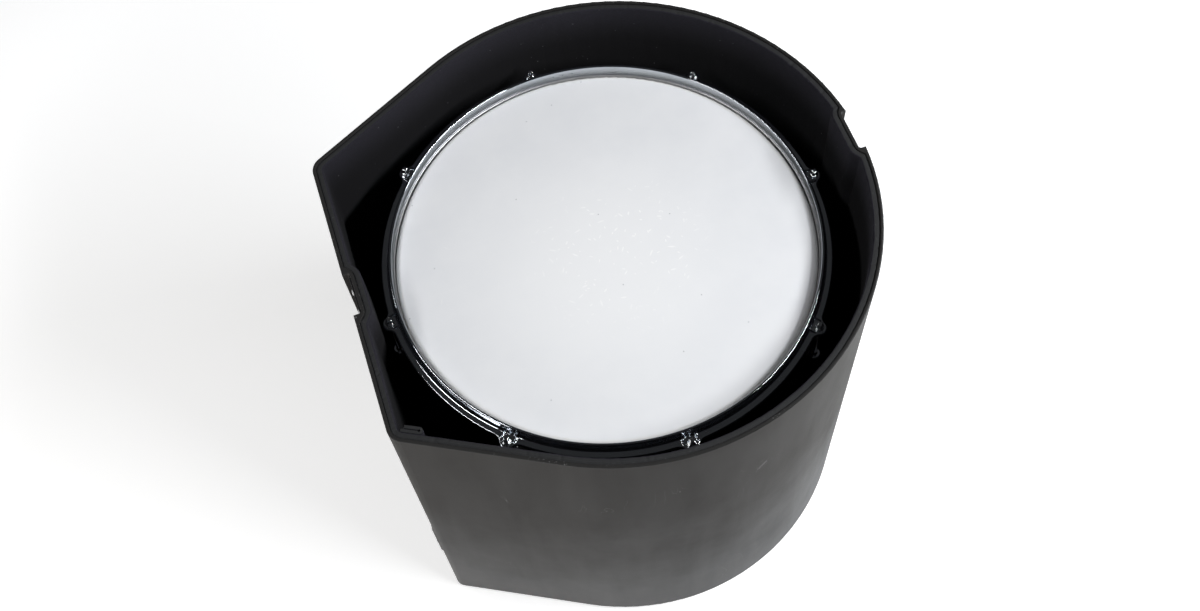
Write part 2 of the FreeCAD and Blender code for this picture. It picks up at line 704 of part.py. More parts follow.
def counterhoop():
    hoop = revolved(hoop_profile())
    ear = ear_plan().extrude(V(0, 0, EAR_THICKNESS))
    ear.translate(V(0, 0, EAR_TOP - EAR_THICKNESS))
    rims = [e for e in ear.Edges if isinstance(e.Curve, Part.Circle) and e.BoundBox.ZLength < 0.01]
    ear = ear.makeFillet(1.5, [e for e in rims if e.BoundBox.XMax > ROD_CIRCLE + 1])
    keep_out = ring(0, SKIRT_INNER, 0, HOOP_TOP - HOOP_SEAT_DROP)
    keep_out = keep_out.fuse(ring(0, LIP_INNER + 0.5, 0, HOOP_TOP))
    for angle in rod_angles():
        lobe = ear.fuse(ear_rib(-1)).fuse(ear_rib(1)).cut(keep_out)
        lobe.rotate(V(0, 0, 0), UP, angle)
        hoop = hoop.fuse(lobe)
    hoop = hoop.removeSplitter()
    hole = ring(0, ROD_RADIUS + 0.5, HOOP_TOP - 30, HOOP_TOP, ROD_CIRCLE)
    washer_seat = ring(0, WASHER_RADIUS + 0.3, EAR_TOP, EAR_TOP + 3.0, ROD_CIRCLE)
    return at_drum(hoop).cut(at_each_rod(hole)).cut(at_each_rod(washer_seat))


def tension_rod():
    """A tension rod: a square key head on a round collar, and a shank down into the nut."""
    seat = EAR_TOP + WASHER_HEIGHT
    collar_top = seat + COLLAR_HEIGHT
    collar = Part.makeCylinder(COLLAR_RADIUS, COLLAR_HEIGHT, V(ROD_CIRCLE, 0, seat))
    collar = collar.makeFillet(0.8, [e for e in collar.Edges if e.BoundBox.ZMin > collar_top - 0.01])
    half = KEY_WIDTH / 2
    key_low = collar_top - 0.5
    key_top = key_low + KEY_HEIGHT
    key = Part.makeBox(KEY_WIDTH, KEY_WIDTH, KEY_HEIGHT, V(ROD_CIRCLE - half, -half, key_low))
    key = key.makeChamfer(0.9, [e for e in key.Edges if e.BoundBox.ZMin > key_top - 0.01])
    shank = Part.makeCylinder(ROD_RADIUS, seat + 0.5 - ROD_END, V(ROD_CIRCLE, 0, ROD_END))
    shank = shank.makeChamfer(0.7, [e for e in shank.Edges if e.BoundBox.ZMax < ROD_END + 0.01])
    return collar.fuse(key).fuse(shank).removeSplitter()


def rod_washer():
    return ring(ROD_RADIUS + 0.2, WASHER_RADIUS, EAR_TOP + 0.02, EAR_TOP + WASHER_HEIGHT - 0.02, ROD_CIRCLE)


# ---------------------------------------------------------------- writing the parts

os.makedirs("parts", exist_ok=True)
export(case_shell(), "case_shell")
export(wall_lining(), "wall_lining")
export(lining_fold(), "lining_fold")
export(floor_pad(), "floor_pad")
export(foam_cradle(), "foam_cradle")
export(case_strap(), "case_strap")
export(strap_rivets(), "strap_rivets")
export(back_skid(-SKID_Y), "back_skid_near")
export(back_skid(SKID_Y), "back_skid_far")
export(Part.makeCompound(skid_rivets(-SKID_Y) + skid_rivets(SKID_Y)), "skid_rivets")
export(kettle_bowl(), "kettle_bowl")
export(bearing_ring(), "bearing_ring")
export(vent_grommet(), "vent_grommet")
export(head_film(), "head_film")
export(flesh_hoop(), "flesh_hoop")
export(counterhoop(), "counterhoop")
export(at_each_rod(rod_washer()), "rod_washers")
export(at_each_rod(lug_gasket()), "lug_gaskets")
export(at_each_rod(swivel_nut()), "swivel_nuts")
export(at_each_rod(nut_retainer()), "nut_retainers")
screws = [lug_screw(level) for level in screw_levels()]
washers = [lug_screw_washer(level) for level in screw_levels()]
export(Part.makeCompound([at_each_rod(screw) for screw in screws]), "lug_screws")
export(Part.makeCompound([at_each_rod(washer) for washer in washers]), "lug_screw_washers")
casing = lug_casing()
rod = tension_rod()
for number, angle in enumerate(rod_angles(), start=1):
    export(at_drum(casing, angle), "lug_casing_%d" % number)
    export(at_drum(rod, angle), "tension_rod_%d" % number)
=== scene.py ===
import math
import random

import bpy
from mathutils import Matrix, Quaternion, Vector, noise
from mathutils.bvhtree import BVHTree


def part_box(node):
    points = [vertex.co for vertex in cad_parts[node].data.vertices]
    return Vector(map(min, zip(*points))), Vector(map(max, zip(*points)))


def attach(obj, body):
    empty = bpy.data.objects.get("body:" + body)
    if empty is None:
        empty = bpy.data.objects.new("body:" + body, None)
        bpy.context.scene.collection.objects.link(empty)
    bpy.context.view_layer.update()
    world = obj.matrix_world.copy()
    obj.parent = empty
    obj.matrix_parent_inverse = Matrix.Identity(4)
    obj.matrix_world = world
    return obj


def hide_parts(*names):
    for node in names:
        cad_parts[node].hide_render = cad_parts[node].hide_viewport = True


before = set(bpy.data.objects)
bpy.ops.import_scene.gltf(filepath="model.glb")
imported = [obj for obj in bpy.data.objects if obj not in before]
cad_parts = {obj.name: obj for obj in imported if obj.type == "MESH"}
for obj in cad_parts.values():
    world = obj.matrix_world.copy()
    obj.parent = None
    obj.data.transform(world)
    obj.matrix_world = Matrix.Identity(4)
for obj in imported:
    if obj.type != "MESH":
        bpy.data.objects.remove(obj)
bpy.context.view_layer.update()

# A kettledrum in the open base of its D-shaped case. Metres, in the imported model's own frame.

MM = 0.001

# ---- places taken from the frame ----
HEAD_LOW, HEAD_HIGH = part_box("head_film")
DRUM_X = (HEAD_LOW.x + HEAD_HIGH.x) / 2
DRUM_Y = (HEAD_LOW.y + HEAD_HIGH.y) / 2
HOOP_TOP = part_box("counterhoop")[1].z
HEAD_RADIUS = (HEAD_HIGH.x - HEAD_LOW.x) / 2
RIM_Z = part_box("case_shell")[1].z
LINING_LOW, LINING_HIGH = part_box("wall_lining")

# ---- camera ----
CAMERA_AZIMUTH = math.radians(-13.65)
CAMERA_ELEVATION = math.radians(62.67)
CAMERA_ROLL = math.radians(-5.195)
CAMERA_DISTANCE = 1.750
CAMERA_LENS = 45.0
CAMERA_SENSOR = 36.0
AIM_FROM_DRUM = Vector((-0.0326, -0.0782, 0.0))

# ---- lining ----
LINING_COLUMN = 1.5 * MM
RIM_WOBBLE = 0.45 * MM
FACE_WAVE = 0.7 * MM
FACE_PUCKER = 0.15 * MM
EDGE_WANDER = 0.25 * MM
CUT_RIDGE = 0.16 * MM
CUT_ROUGHNESS = 0.22 * MM
NICK_COUNT = 70
NICK_HALF_WIDTHS = (0.8 * MM, 3.2 * MM)
NICK_DEPTHS = (0.3 * MM, 1.3 * MM)
# depths of the face's rows of points below the foot of the cut edge, in millimetres
FACE_ROWS = (0.0, 0.4, 1.0, 2.0, 4.0, 8.0, 14.0, 22.0, 34.0, 50.0, 70.0, 95.0, 125.0, 160.0, 200.0,
             245.0, 290.0, 335.0, 380.0, 425.0, 470.0, 510.0)
# the cut edge from the inner face to the outer: (share across, millimetres below the top)
CUT_EDGE = ((0.02, 1.1), (0.07, 0.55), (0.15, 0.2), (0.28, 0.05), (0.45, 0.0), (0.60, 0.05),
            (0.74, 0.2), (0.86, 0.5), (0.94, 0.9), (0.985, 1.3))
CUT_EDGE_HEIGHT = 1.5 * MM

# ---- cast hoop: radii from the drum's axis, and heights below the hoop's top ----
LIP_INNER = 256.5 * MM
LIP_OUTER = 260.0 * MM
SKIRT_INNER = 263.0 * MM
SKIRT_OUTER = 267.0 * MM
FLANGE_OUTER = 270.4 * MM
ROD_CIRCLE = 272.0 * MM
EAR_RADIUS = 8.6 * MM
EAR_FILLET = 12.0 * MM
FLANGE_TOP = -12.6 * MM
FLANGE_BOTTOM = -18.6 * MM
HOOP_SEAT = -16.0 * MM
SKIRT_END = -23.0 * MM
EAR_DIP = 0.4 * MM
RIB_SIDE = 8.4 * MM
RIB_HALF = 0.9 * MM
RIB_FOOT_RADIUS = ROD_CIRCLE + 1.0 * MM
RIB_FOOT = -14.0 * MM
RIB_RISE = 8.0 * MM

# ---- tension rods ----
ROD_RADIUS = 2.78 * MM
ROD_TIP = 0.7 * MM
COLLAR_RADIUS = 5.4 * MM
COLLAR_HEIGHT = 2.4 * MM
COLLAR_ROUNDING = 0.9 * MM
KEY_HALF = 3.17 * MM
KEY_HEIGHT = 7.0 * MM
KEY_ROUNDING = 1.5 * MM
KEY_CROWN = 0.15 * MM
KEY_SQUARENESS = 9.0
RING_POINTS = 48

# ---- folded end of the lining ----
FOLD_LAYER = 4.0 * MM
FOLD_SLIT = 0.8 * MM
FOLD_LENGTH = 25.0 * MM
FOLD_LOOP = 1.2 * MM
FOLD_GAP = 0.5 * MM
FOLD_TUCK = 5.0 * MM
FOLD_CUT_END = 3.0 * MM
FOLD_DRIFT = 0.25 * MM
FOLD_ROUGHNESS = 0.2 * MM
# shares of the fold's height at which a row of points goes round it, below the cut edge
FOLD_ROWS = (0.01, 0.03, 0.06, 0.12, 0.25, 0.5, 0.75, 1.0)

# ---- webbing ----
STRAP_STEP = 2.0 * MM
STRAP_HALF_WIDTH = 24.6 * MM
STRAP_HALF_THICKNESS = 1.15 * MM
STRAP_RIBS = 15
STRAP_RIB_DEPTH = 0.14
STRAP_WANDER = 0.3 * MM
STRAP_PAST_RIVETS = 22.0 * MM
STRAP_THREAD = 1.6 * MM

# ---- studio ----
FLOOR_REACH = 45.0
FLOOR_GLOW = 0.42
ROOM_STRENGTH = 0.03


# ---------------------------------------------------------------- node trees

def set_inputs(tree, node, inputs):
    """Gives a node's inputs their values. A value that is another node's output is linked."""
    for key, value in inputs.items():
        if isinstance(value, bpy.types.NodeSocket):
            tree.links.new(value, node.inputs[key])
        else:
            node.inputs[key].default_value = value


def put(tree, kind, inputs, **settings):
    """Adds one shader node."""
    node = tree.nodes.new(kind)
    for key, value in settings.items():
        setattr(node, key, value)
    set_inputs(tree, node, inputs)
    return node


def new_material(name):
    """A new material, its node tree, its shader, and coordinates in metres fixed to the piece."""
    material = bpy.data.materials.new(name)
    material.use_nodes = True
    tree = material.node_tree
    where = put(tree, "ShaderNodeTexCoord", {}).outputs["Object"]
    return material, tree, tree.nodes["Principled BSDF"], where


def math_node(tree, operation, a, b=0.0):
    return put(tree, "ShaderNodeMath", {0: a, 1: b}, operation=operation).outputs[0]


def times(tree, a, b):
    return math_node(tree, "MULTIPLY", a, b)


def plus(tree, a, b):
    return math_node(tree, "ADD", a, b)


def inverse(tree, value):
    return math_node(tree, "SUBTRACT", 1.0, value)


def vector_node(tree, operation, a, b=(0.0, 0.0, 0.0)):
    node = put(tree, "ShaderNodeVectorMath", {0: a, 1: b}, operation=operation)
    return node.outputs["Value"] if operation == "LENGTH" else node.outputs["Vector"]


def noise_node(tree, where, scale, detail=3.0, roughness=0.55, distortion=0.0):
    inputs = {"Vector": where, "Scale": scale, "Detail": detail, "Roughness": roughness,
              "Distortion": distortion}
    return put(tree, "ShaderNodeTexNoise", inputs).outputs["Fac"]


def stretched(tree, where, factors):
    return vector_node(tree, "MULTIPLY", where, factors)


def between(tree, value, low, high):
    """0 where value is at or below low and 1 at or above high, smooth in between."""
    inputs = {"Value": value, "From Min": low, "From Max": high, "To Min": 0.0, "To Max": 1.0}
    node = put(tree, "ShaderNodeMapRange", inputs, interpolation_type="SMOOTHSTEP", clamp=True)
    return node.outputs["Result"]


def spread(tree, value, low, high):
    """Spreads a value that runs from 0 to 1 over low to high."""
    inputs = {"Value": value, "From Min": 0.0, "From Max": 1.0, "To Min": low, "To Max": high}
    return put(tree, "ShaderNodeMapRange", inputs, clamp=False).outputs["Result"]


def mixed(tree, factor, a, b):
    """Mixes two colours, each given as three numbers or a node's output."""
    a, b = [(*colour, 1.0) if isinstance(colour, tuple) else colour for colour in (a, b)]
    return put(tree, "ShaderNodeMix", {0: factor, 6: a, 7: b}, data_type="RGBA").outputs[2]


def tinted(tree, colour, where_to, most, other):
    """Moves a colour toward another by up to a share, wherever a value nears 1."""
    return mixed(tree, spread(tree, where_to, 0.0, most), colour, other)


def attribute(tree, name):
    return put(tree, "ShaderNodeAttribute", {}, attribute_name=name).outputs["Fac"]


def height_of(tree, where):
    return put(tree, "ShaderNodeSeparateXYZ", {0: where}).outputs["Z"]


def dimmed(colour, factor):
    """A colour's three numbers, each times a factor."""
    return tuple(factor * value for value in colour)


def bump(tree, height, strength, depth, normal=None):
    """depth is the height in metres that a value of 1 stands for."""
    inputs = {"Height": height, "Strength": strength, "Distance": depth}
    if normal is not None:
        inputs["Normal"] = normal
    return put(tree, "ShaderNodeBump", inputs).outputs["Normal"]


def hairlines(tree, where, scale, width, distortion=1.5):
    """Thin wandering lines, 1 on a line: the places where a noise passes through its middle value."""
    value = noise_node(tree, where, scale, 2.0, 0.5, distortion)
    away = math_node(tree, "ABSOLUTE", math_node(tree, "SUBTRACT", value, 0.5))
    return inverse(tree, between(tree, away, 0.0, width))


def finish_shader(tree, shader, colour, roughness, normal, **values):
    """Sets the shader's inputs. In the names of the further ones, underscores stand for spaces."""
    inputs = {"Base Color": colour, "Roughness": roughness, "Normal": normal}
    inputs.update({name.replace("_", " "): value for name, value in values.items()})
    set_inputs(tree, shader, inputs)


# ---------------------------------------------------------------- materials

def shell_plastic():
    """Satin moulded plastic: fine grain, faint clouds, rubbed streaks, scuffs, a paler chipped rim, and
    lighter towards the bottom from dust and a painted floor bounce.
    """
    material, tree, shader, where = new_material("shell_plastic")
    clouds = noise_node(tree, where, 7.0, 4.0, 0.6)
    streaks = noise_node(tree, stretched(tree, where, (22.0, 22.0, 3.5)), 1.0, 3.0, 0.6, 0.4)
    grain = noise_node(tree, where, 1400.0, 2.0, 0.6)
    scratches = hairlines(tree, stretched(tree, where, (1.0, 1.0, 0.35)), 26.0, 0.0035)
    rare = between(tree, noise_node(tree, where, 9.0, 2.0), 0.60, 0.70)
    scratches = times(tree, scratches, rare)
    height = height_of(tree, where)
    at_rim = between(tree, height, RIM_Z - 5.0 * MM, RIM_Z - 1.0 * MM)
    chips = between(tree, noise_node(tree, where, 420.0, 3.0, 0.7), 0.62, 0.70)
    chip_zone = between(tree, noise_node(tree, where, 14.0, 1.0), 0.50, 0.62)
    chips = times(tree, times(tree, chips, chip_zone), at_rim)
    # lighter towards the bottom: partly dust, partly painted light bounced up from the floor
    dust_and_bounce_edge = plus(tree, height, times(tree, clouds, 0.22))
    dust = inverse(tree, between(tree, dust_and_bounce_edge, 0.06, 0.52))
    colour = mixed(tree, clouds, (0.015, 0.0135, 0.012), (0.024, 0.0222, 0.0203))
    colour = mixed(tree, dust, colour, (0.088, 0.088, 0.089))
    colour = tinted(tree, colour, streaks, 0.3, (0.034, 0.033, 0.032))
    colour = tinted(tree, colour, at_rim, 0.35, (0.036, 0.037, 0.039))
    colour = tinted(tree, colour, scratches, 0.55, (0.16, 0.16, 0.16))
    colour = tinted(tree, colour, chips, 0.8, (0.22, 0.22, 0.22))
    roughness = spread(tree, times(tree, streaks, clouds), 0.40, 0.78)
    relief = plus(tree, grain, times(tree, scratches, -1.2))
    normal = bump(tree, relief, 0.35, 0.12 * MM)
    normal = bump(tree, noise_node(tree, where, 60.0, 2.0), 0.10, 0.5 * MM, normal)
    finish_shader(tree, shader, colour, roughness, normal, Specular_IOR_Level=0.040)
    return material


def lining_face():
    """The lining's brushed face: dark, faintly violet, speckled, with a soft sheen of nap, paler near the
    rim from handling wear and painted light, darker deeper down as painted shade.
    """
    material, tree, shader, where = new_material("lining_face")
    speckle = noise_node(tree, where, 900.0, 2.0, 0.7)
    clouds = noise_node(tree, where, 11.0, 3.0)
    lint = between(tree, noise_node(tree, where, 330.0, 1.0, 0.4), 0.795, 0.83)
    nap = noise_node(tree, stretched(tree, where, (900.0, 900.0, 420.0)), 1.0, 4.0, 0.7)
    height = height_of(tree, where)
    # paler near the rim, darker deeper down: partly handling wear, partly painted light near the rim and
    # painted shade deep in the case
    worn = between(tree, height, RIM_Z - 85.0 * MM, RIM_Z + 5.0 * MM)
    worn = times(tree, worn, worn)
    colour = mixed(tree, speckle, (0.0070, 0.0068, 0.0076), (0.0160, 0.0155, 0.0175))
    paler = mixed(tree, speckle, (0.012, 0.0115, 0.015), (0.042, 0.040, 0.052))
    colour = mixed(tree, worn, colour, paler)
    colour = tinted(tree, colour, clouds, 0.3, (0.006, 0.0055, 0.007))
    colour = tinted(tree, colour, lint, 0.7, (0.20, 0.20, 0.21))
    relief = plus(tree, nap, spread(tree, speckle, 0.0, 0.6))
    normal = bump(tree, relief, 0.6, 0.35 * MM)
    finish_shader(tree, shader, colour, 0.95, normal, Specular_IOR_Level=0.08, Sheen_Weight=0.02,
                  Sheen_Roughness=0.6)
    return material


def cut_foam(name, pale):
    """A cut edge of closed-cell foam: greenish grey, in layers that run along the sheet."""
    material, tree, shader, where = new_material(name)
    across = attribute(tree, "across")
    drift = noise_node(tree, where, 30.0, 2.0)
    layered = plus(tree, times(tree, across, 6.0), drift)
    layers = noise_node(tree, put(tree, "ShaderNodeCombineXYZ", {"X": layered}).outputs[0], 2.2, 2.0)
    cells = noise_node(tree, where, 1100.0, 3.0, 0.7)
    torn = noise_node(tree, where, 160.0, 4.0, 0.7)
    dark = dimmed(pale, 0.45)
    colour = mixed(tree, between(tree, layers, 0.36, 0.62), dark, pale)
    colour = tinted(tree, colour, cells, 0.5, dimmed(pale, 1.7))
    colour = mixed(tree, spread(tree, between(tree, torn, 0.60, 0.75), 0.0, 0.6), colour,
                   dimmed(pale, 2.4))
    relief = plus(tree, cells, times(tree, torn, 1.5))
    finish_shader(tree, shader, colour, 0.88, bump(tree, relief, 0.7, 0.3 * MM), Specular_IOR_Level=0.25)
    return material


def cell_foam(name, dark, pale):
    """Sawn open-cell foam, with small pits, darker at their bottoms as painted shade."""
    material, tree, shader, where = new_material(name)
    pits = put(tree, "ShaderNodeTexVoronoi", {"Vector": where, "Scale": 520.0}).outputs["Distance"]
    clouds = noise_node(tree, where, 25.0, 3.0)
    # darkest at the bottom of each pit: painted shade
    colour = mixed(tree, between(tree, pits, 0.15, 0.65), dark, pale)
    colour = tinted(tree, colour, clouds, 0.4, dark)
    finish_shader(tree, shader, colour, 0.96, bump(tree, pits, 0.8, 0.7 * MM), Specular_IOR_Level=0.1)
    return material


def webbing():
    """Black woven strap: a fine basket weave with a worn, slightly paler crown on each rib."""
    material, tree, shader, where = new_material("strap_webbing")
    along = attribute(tree, "along")
    side = attribute(tree, "sideways")
    pitch = 2.0 * math.pi / STRAP_THREAD
    warp = math_node(tree, "SINE", times(tree, side, pitch))
    weft = math_node(tree, "SINE", times(tree, along, pitch))
    weave = times(tree, warp, weft)
    fuzz = noise_node(tree, where, 1500.0, 3.0, 0.7)
    wear = between(tree, noise_node(tree, where, 35.0, 3.0), 0.45, 0.75)
    colour = mixed(tree, spread(tree, weave, 0.4, 0.9), (0.010, 0.010, 0.011), (0.034, 0.034, 0.036))
    colour = mixed(tree, times(tree, wear, spread(tree, fuzz, 0.0, 0.7)), colour,
                   (0.075, 0.074, 0.073))
    relief = plus(tree, weave, fuzz)
    finish_shader(tree, shader, colour, 0.82, bump(tree, relief, 0.6, 0.25 * MM), Sheen_Weight=0.1,
                  Specular_IOR_Level=0.3)
    return material


def moulded_black():
    """Hard matt plastic with a sparked mould grain and rubbed patches."""
    material, tree, shader, where = new_material("skid_plastic")
    grain = noise_node(tree, where, 1100.0, 3.0, 0.65)
    rubbed = between(tree, noise_node(tree, where, 75.0, 4.0, 0.7), 0.52, 0.72)
    colour = mixed(tree, grain, (0.010, 0.010, 0.010), (0.022, 0.022, 0.022))
    colour = tinted(tree, colour, rubbed, 0.6, (0.07, 0.07, 0.07))
    finish_shader(tree, shader, colour, spread(tree, rubbed, 0.62, 0.42), bump(tree, grain, 0.5, 0.15 * MM))
    return material


def chrome(name, colour, polish, wear):
    """Plated metal: faint ripple from the polishing, hairline scratches, a few dull tarnish clouds."""
    material, tree, shader, where = new_material(name)
    clouds = between(tree, noise_node(tree, where, 38.0, 4.0, 0.65), 0.50, 0.74)
    fine = hairlines(tree, where, 300.0, 0.006)
    pits = between(tree, noise_node(tree, where, 1500.0, 2.0, 0.5), 0.70, 0.78)
    dull = times(tree, clouds, wear)
    tint = mixed(tree, dull, colour, dimmed(colour, 0.62))
    tint = mixed(tree, times(tree, pits, wear), tint, (0.16, 0.15, 0.14))
    rough = plus(tree, spread(tree, dull, polish, polish + 0.22),
                      times(tree, fine, 0.08))
    ripple = noise_node(tree, where, 55.0, 2.0)
    normal = bump(tree, ripple, 0.02, 0.15 * MM)
    normal = bump(tree, plus(tree, fine, pits), 0.02, -0.03 * MM, normal)
    finish_shader(tree, shader, tint, rough, normal, Metallic=1.0)
    return material


def turned_metal(name, colour, metallic=1.0, polish=0.28):
    """Metal turned about the drum's axis, with fine rings of tool marks."""
    material, tree, shader, where = new_material(name)
    offset = vector_node(tree, "SUBTRACT", where, (DRUM_X, DRUM_Y, 0.0))
    flat = vector_node(tree, "MULTIPLY", offset, (1.0, 1.0, 0.0))
    radius = vector_node(tree, "LENGTH", flat)
    height = height_of(tree, where)
    rings = put(tree, "ShaderNodeCombineXYZ", {"X": radius, "Y": height}).outputs[0]
    marks = noise_node(tree, rings, 3500.0, 2.0, 0.6)
    clouds = noise_node(tree, where, 30.0, 3.0)
    tint = mixed(tree, spread(tree, clouds, 0.0, 0.4), colour, dimmed(colour, 0.6))
    rough = plus(tree, spread(tree, marks, polish - 0.08, polish + 0.12),
                      spread(tree, clouds, 0.0, 0.1))
    finish_shader(tree, shader, tint, rough, bump(tree, marks, 0.25, 0.04 * MM), Metallic=metallic)
    return material


def plain_metal(name, colour, polish):
    """Small plated or machined hardware: brushed, with patches of dirt."""
    material, tree, shader, where = new_material(name)
    brushed = noise_node(tree, stretched(tree, where, (2600.0, 2600.0, 260.0)), 1.0, 3.0, 0.6)
    clouds = noise_node(tree, where, 190.0, 4.0, 0.65)
    tint = mixed(tree, between(tree, clouds, 0.45, 0.8), colour, dimmed(colour, 0.45))
    rough = spread(tree, times(tree, brushed, clouds), polish, polish + 0.4)
    finish_shader(tree, shader, tint, rough, bump(tree, brushed, 0.3, 0.06 * MM), Metallic=1.0)
    return material


def stick_marks(tree, plane, scale, width, length, keep, seed):
    """Short leaf-shaped dents at random places and angles: 1 on a mark. plane is the head's own XY."""
    moved = vector_node(tree, "ADD", plane, (seed, 1.7 * seed, 0.0))
    cell = put(tree, "ShaderNodeTexVoronoi", {"Vector": moved, "Scale": scale, "Randomness": 1.0},
               voronoi_dimensions="2D")
    local = vector_node(tree, "SUBTRACT", moved, cell.outputs["Position"])
    chance = put(tree, "ShaderNodeSeparateColor", {0: cell.outputs["Color"]})
    angle = times(tree, chance.outputs["Red"], 2.0 * math.pi)
    turned = put(tree, "ShaderNodeVectorRotate", {"Vector": local, "Angle": angle}, rotation_type="Z_AXIS")
    axes = put(tree, "ShaderNodeSeparateXYZ", {0: turned.outputs[0]})
    bend = times(tree, times(tree, axes.outputs["X"], axes.outputs["X"]),
                     6.0)
    across = math_node(tree, "ABSOLUTE", plus(tree, axes.outputs["Y"], bend))
    along = math_node(tree, "ABSOLUTE", axes.outputs["X"])
    reach = times(tree, spread(tree, chance.outputs["Blue"], 0.35, 1.0), length)
    lengthwise = math_node(tree, "POWER", math_node(tree, "DIVIDE", along, reach), 2.0)
    crosswise = math_node(tree, "POWER", math_node(tree, "DIVIDE", across, width), 2.0)
    leaf = between(tree, plus(tree, lengthwise, crosswise), 0.25, 1.0)
    kept = math_node(tree, "LESS_THAN", chance.outputs["Green"], keep)
    return times(tree, inverse(tree, leaf), kept)


def coated_film():
    """The head's sprayed coating: matt white with a fine tooth, faint clouds, stick marks, a painted pool of
    light off the middle, and a painted ring of shade at its edge.
    """
    material, tree, shader, where = new_material("coated_film")
    plane = vector_node(tree, "SUBTRACT", where, (DRUM_X, DRUM_Y, 0.0))
    plane = vector_node(tree, "MULTIPLY", plane, (1.0, 1.0, 0.0))
    radius = vector_node(tree, "LENGTH", plane)
    tooth = noise_node(tree, where, 2600.0, 3.0, 0.65)
    clouds = noise_node(tree, where, 16.0, 4.0, 0.6)
    smears = noise_node(tree, stretched(tree, where, (9.0, 34.0, 20.0)), 1.0, 3.0, 0.6, 0.6)
    # a broad painted pool of light, off the middle of the head
    from_light_pool = vector_node(tree, "LENGTH", vector_node(tree, "SUBTRACT", plane, (-0.022, -0.025, 0.0)))
    painted_light_pool = inverse(tree, between(tree, from_light_pool, 0.02, 0.25))
    struck = vector_node(tree, "LENGTH", vector_node(tree, "SUBTRACT", plane, (0.012, -0.010, 0.0)))
    struck = inverse(tree, between(tree, struck, 0.05, 0.13))
    thin = noise_node(tree, where, 22.0, 1.0)
    struck_zone = times(tree, struck, between(tree, thin, 0.32, 0.46))
    marks = stick_marks(tree, plane, 66.0, 1.25 * MM, 5.6 * MM, 0.42, 3.1)
    small = stick_marks(tree, plane, 95.0, 1.0 * MM, 3.2 * MM, 0.34, 9.7)
    marks = math_node(tree, "MAXIMUM", marks, small)
    marks = times(tree, marks, struck_zone)
    stray = stick_marks(tree, plane, 14.0, 1.0 * MM, 5.5 * MM, 0.12, 5.3)
    dots = put(tree, "ShaderNodeTexVoronoi", {"Vector": plane, "Scale": 24.0}, voronoi_dimensions="2D")
    dot = math_node(tree, "LESS_THAN", dots.outputs["Distance"], 0.022)
    pick = put(tree, "ShaderNodeSeparateColor", {0: dots.outputs["Color"]}).outputs["Red"]
    dot = times(tree, dot, math_node(tree, "LESS_THAN", pick, 0.16))
    colour = mixed(tree, between(tree, clouds, 0.3, 0.7), (0.785, 0.795, 0.820), (0.822, 0.830, 0.850))
    colour = tinted(tree, colour, smears, 0.35, (0.865, 0.866, 0.872))
    # the painted pool of light whitens the coating
    rubbed = spread(tree, painted_light_pool, 0.0, 0.85)
    colour = mixed(tree, rubbed, colour, (0.940, 0.943, 0.950))
    # a darker warm ring at the edge: painted shade where the head turns down under the hoop
    edge = between(tree, radius, HEAD_RADIUS - 9.0 * MM, HEAD_RADIUS - 2.0 * MM)
    colour = tinted(tree, colour, edge, 0.55, (0.70, 0.68, 0.62))
    colour = tinted(tree, colour, dot, 0.5, (0.35, 0.36, 0.38))
    colour = mixed(tree, marks, colour, (1.0, 1.0, 1.0))
    colour = mixed(tree, times(tree, stray, 0.35), colour, (0.93, 0.93, 0.93))
    rough = math_node(tree, "SUBTRACT", spread(tree, clouds, 0.52, 0.66), spread(tree, struck, 0.0, 0.1))
    dents = math_node(tree, "SUBTRACT", times(tree, tooth, 0.35), marks)
    normal = bump(tree, dents, 0.35, 0.08 * MM)
    finish_shader(tree, shader, colour, rough, normal, Specular_IOR_Level=0.35)
    return material


def gel_coat():
    """Black gloss gel coat over glass fibre, with soft orange peel and a few rubbed places."""
    material, tree, shader, where = new_material("kettle_fibreglass")
    peel = noise_node(tree, where, 240.0, 2.0)
    dust = noise_node(tree, where, 14.0, 5.0, 0.7)
    lines = hairlines(tree, where, 35.0, 0.003)
    colour = mixed(tree, dust, (0.008, 0.008, 0.009), (0.022, 0.022, 0.024))
    colour = tinted(tree, colour, lines, 0.25, (0.10, 0.10, 0.10))
    rough = spread(tree, between(tree, dust, 0.35, 0.75), 0.10, 0.34)
    finish_shader(tree, shader, colour, rough, bump(tree, peel, 0.12, 0.2 * MM), Coat_Weight=0.5,
                  Coat_Roughness=0.12)
    return material


def rubber():
    """Matt black rubber with a grey bloom."""
    material, tree, shader, where = new_material("gasket_rubber")
    bloom = noise_node(tree, where, 120.0, 4.0, 0.7)
    grain = noise_node(tree, where, 2000.0, 2.0)
    colour = mixed(tree, bloom, (0.012, 0.012, 0.012), (0.035, 0.034, 0.033))
    finish_shader(tree, shader, colour, spread(tree, bloom, 0.6, 0.85), bump(tree, grain, 0.4, 0.08 * MM))
    return material


def nylon():
    """Undyed moulded nylon, slightly cloudy."""
    material, tree, shader, where = new_material("retainer_nylon")
    clouds = noise_node(tree, where, 150.0, 3.0)
    grain = noise_node(tree, where, 1800.0, 2.0)
    colour = mixed(tree, clouds, (0.60, 0.59, 0.54), (0.72, 0.71, 0.67))
    finish_shader(tree, shader, colour, 0.5, bump(tree, grain, 0.3, 0.06 * MM), Subsurface_Weight=0.1,
                  Subsurface_Scale=1.0 * MM)
    return material


def floor_paper():
    """The studio's seamless white paper."""
    material, tree, shader, where = new_material("floor_paper")
    fibres = noise_node(tree, where, 90.0, 4.0, 0.6)
    colour = mixed(tree, fibres, (0.93, 0.93, 0.93), (0.96, 0.96, 0.96))
    finish_shader(tree, shader, colour, 0.9, bump(tree, fibres, 0.05, 0.2 * MM), Specular_IOR_Level=0.1,
                  Emission_Color=(1.0, 1.0, 1.0, 1.0), Emission_Strength=FLOOR_GLOW)
    return material


# ---------------------------------------------------------------- meshes

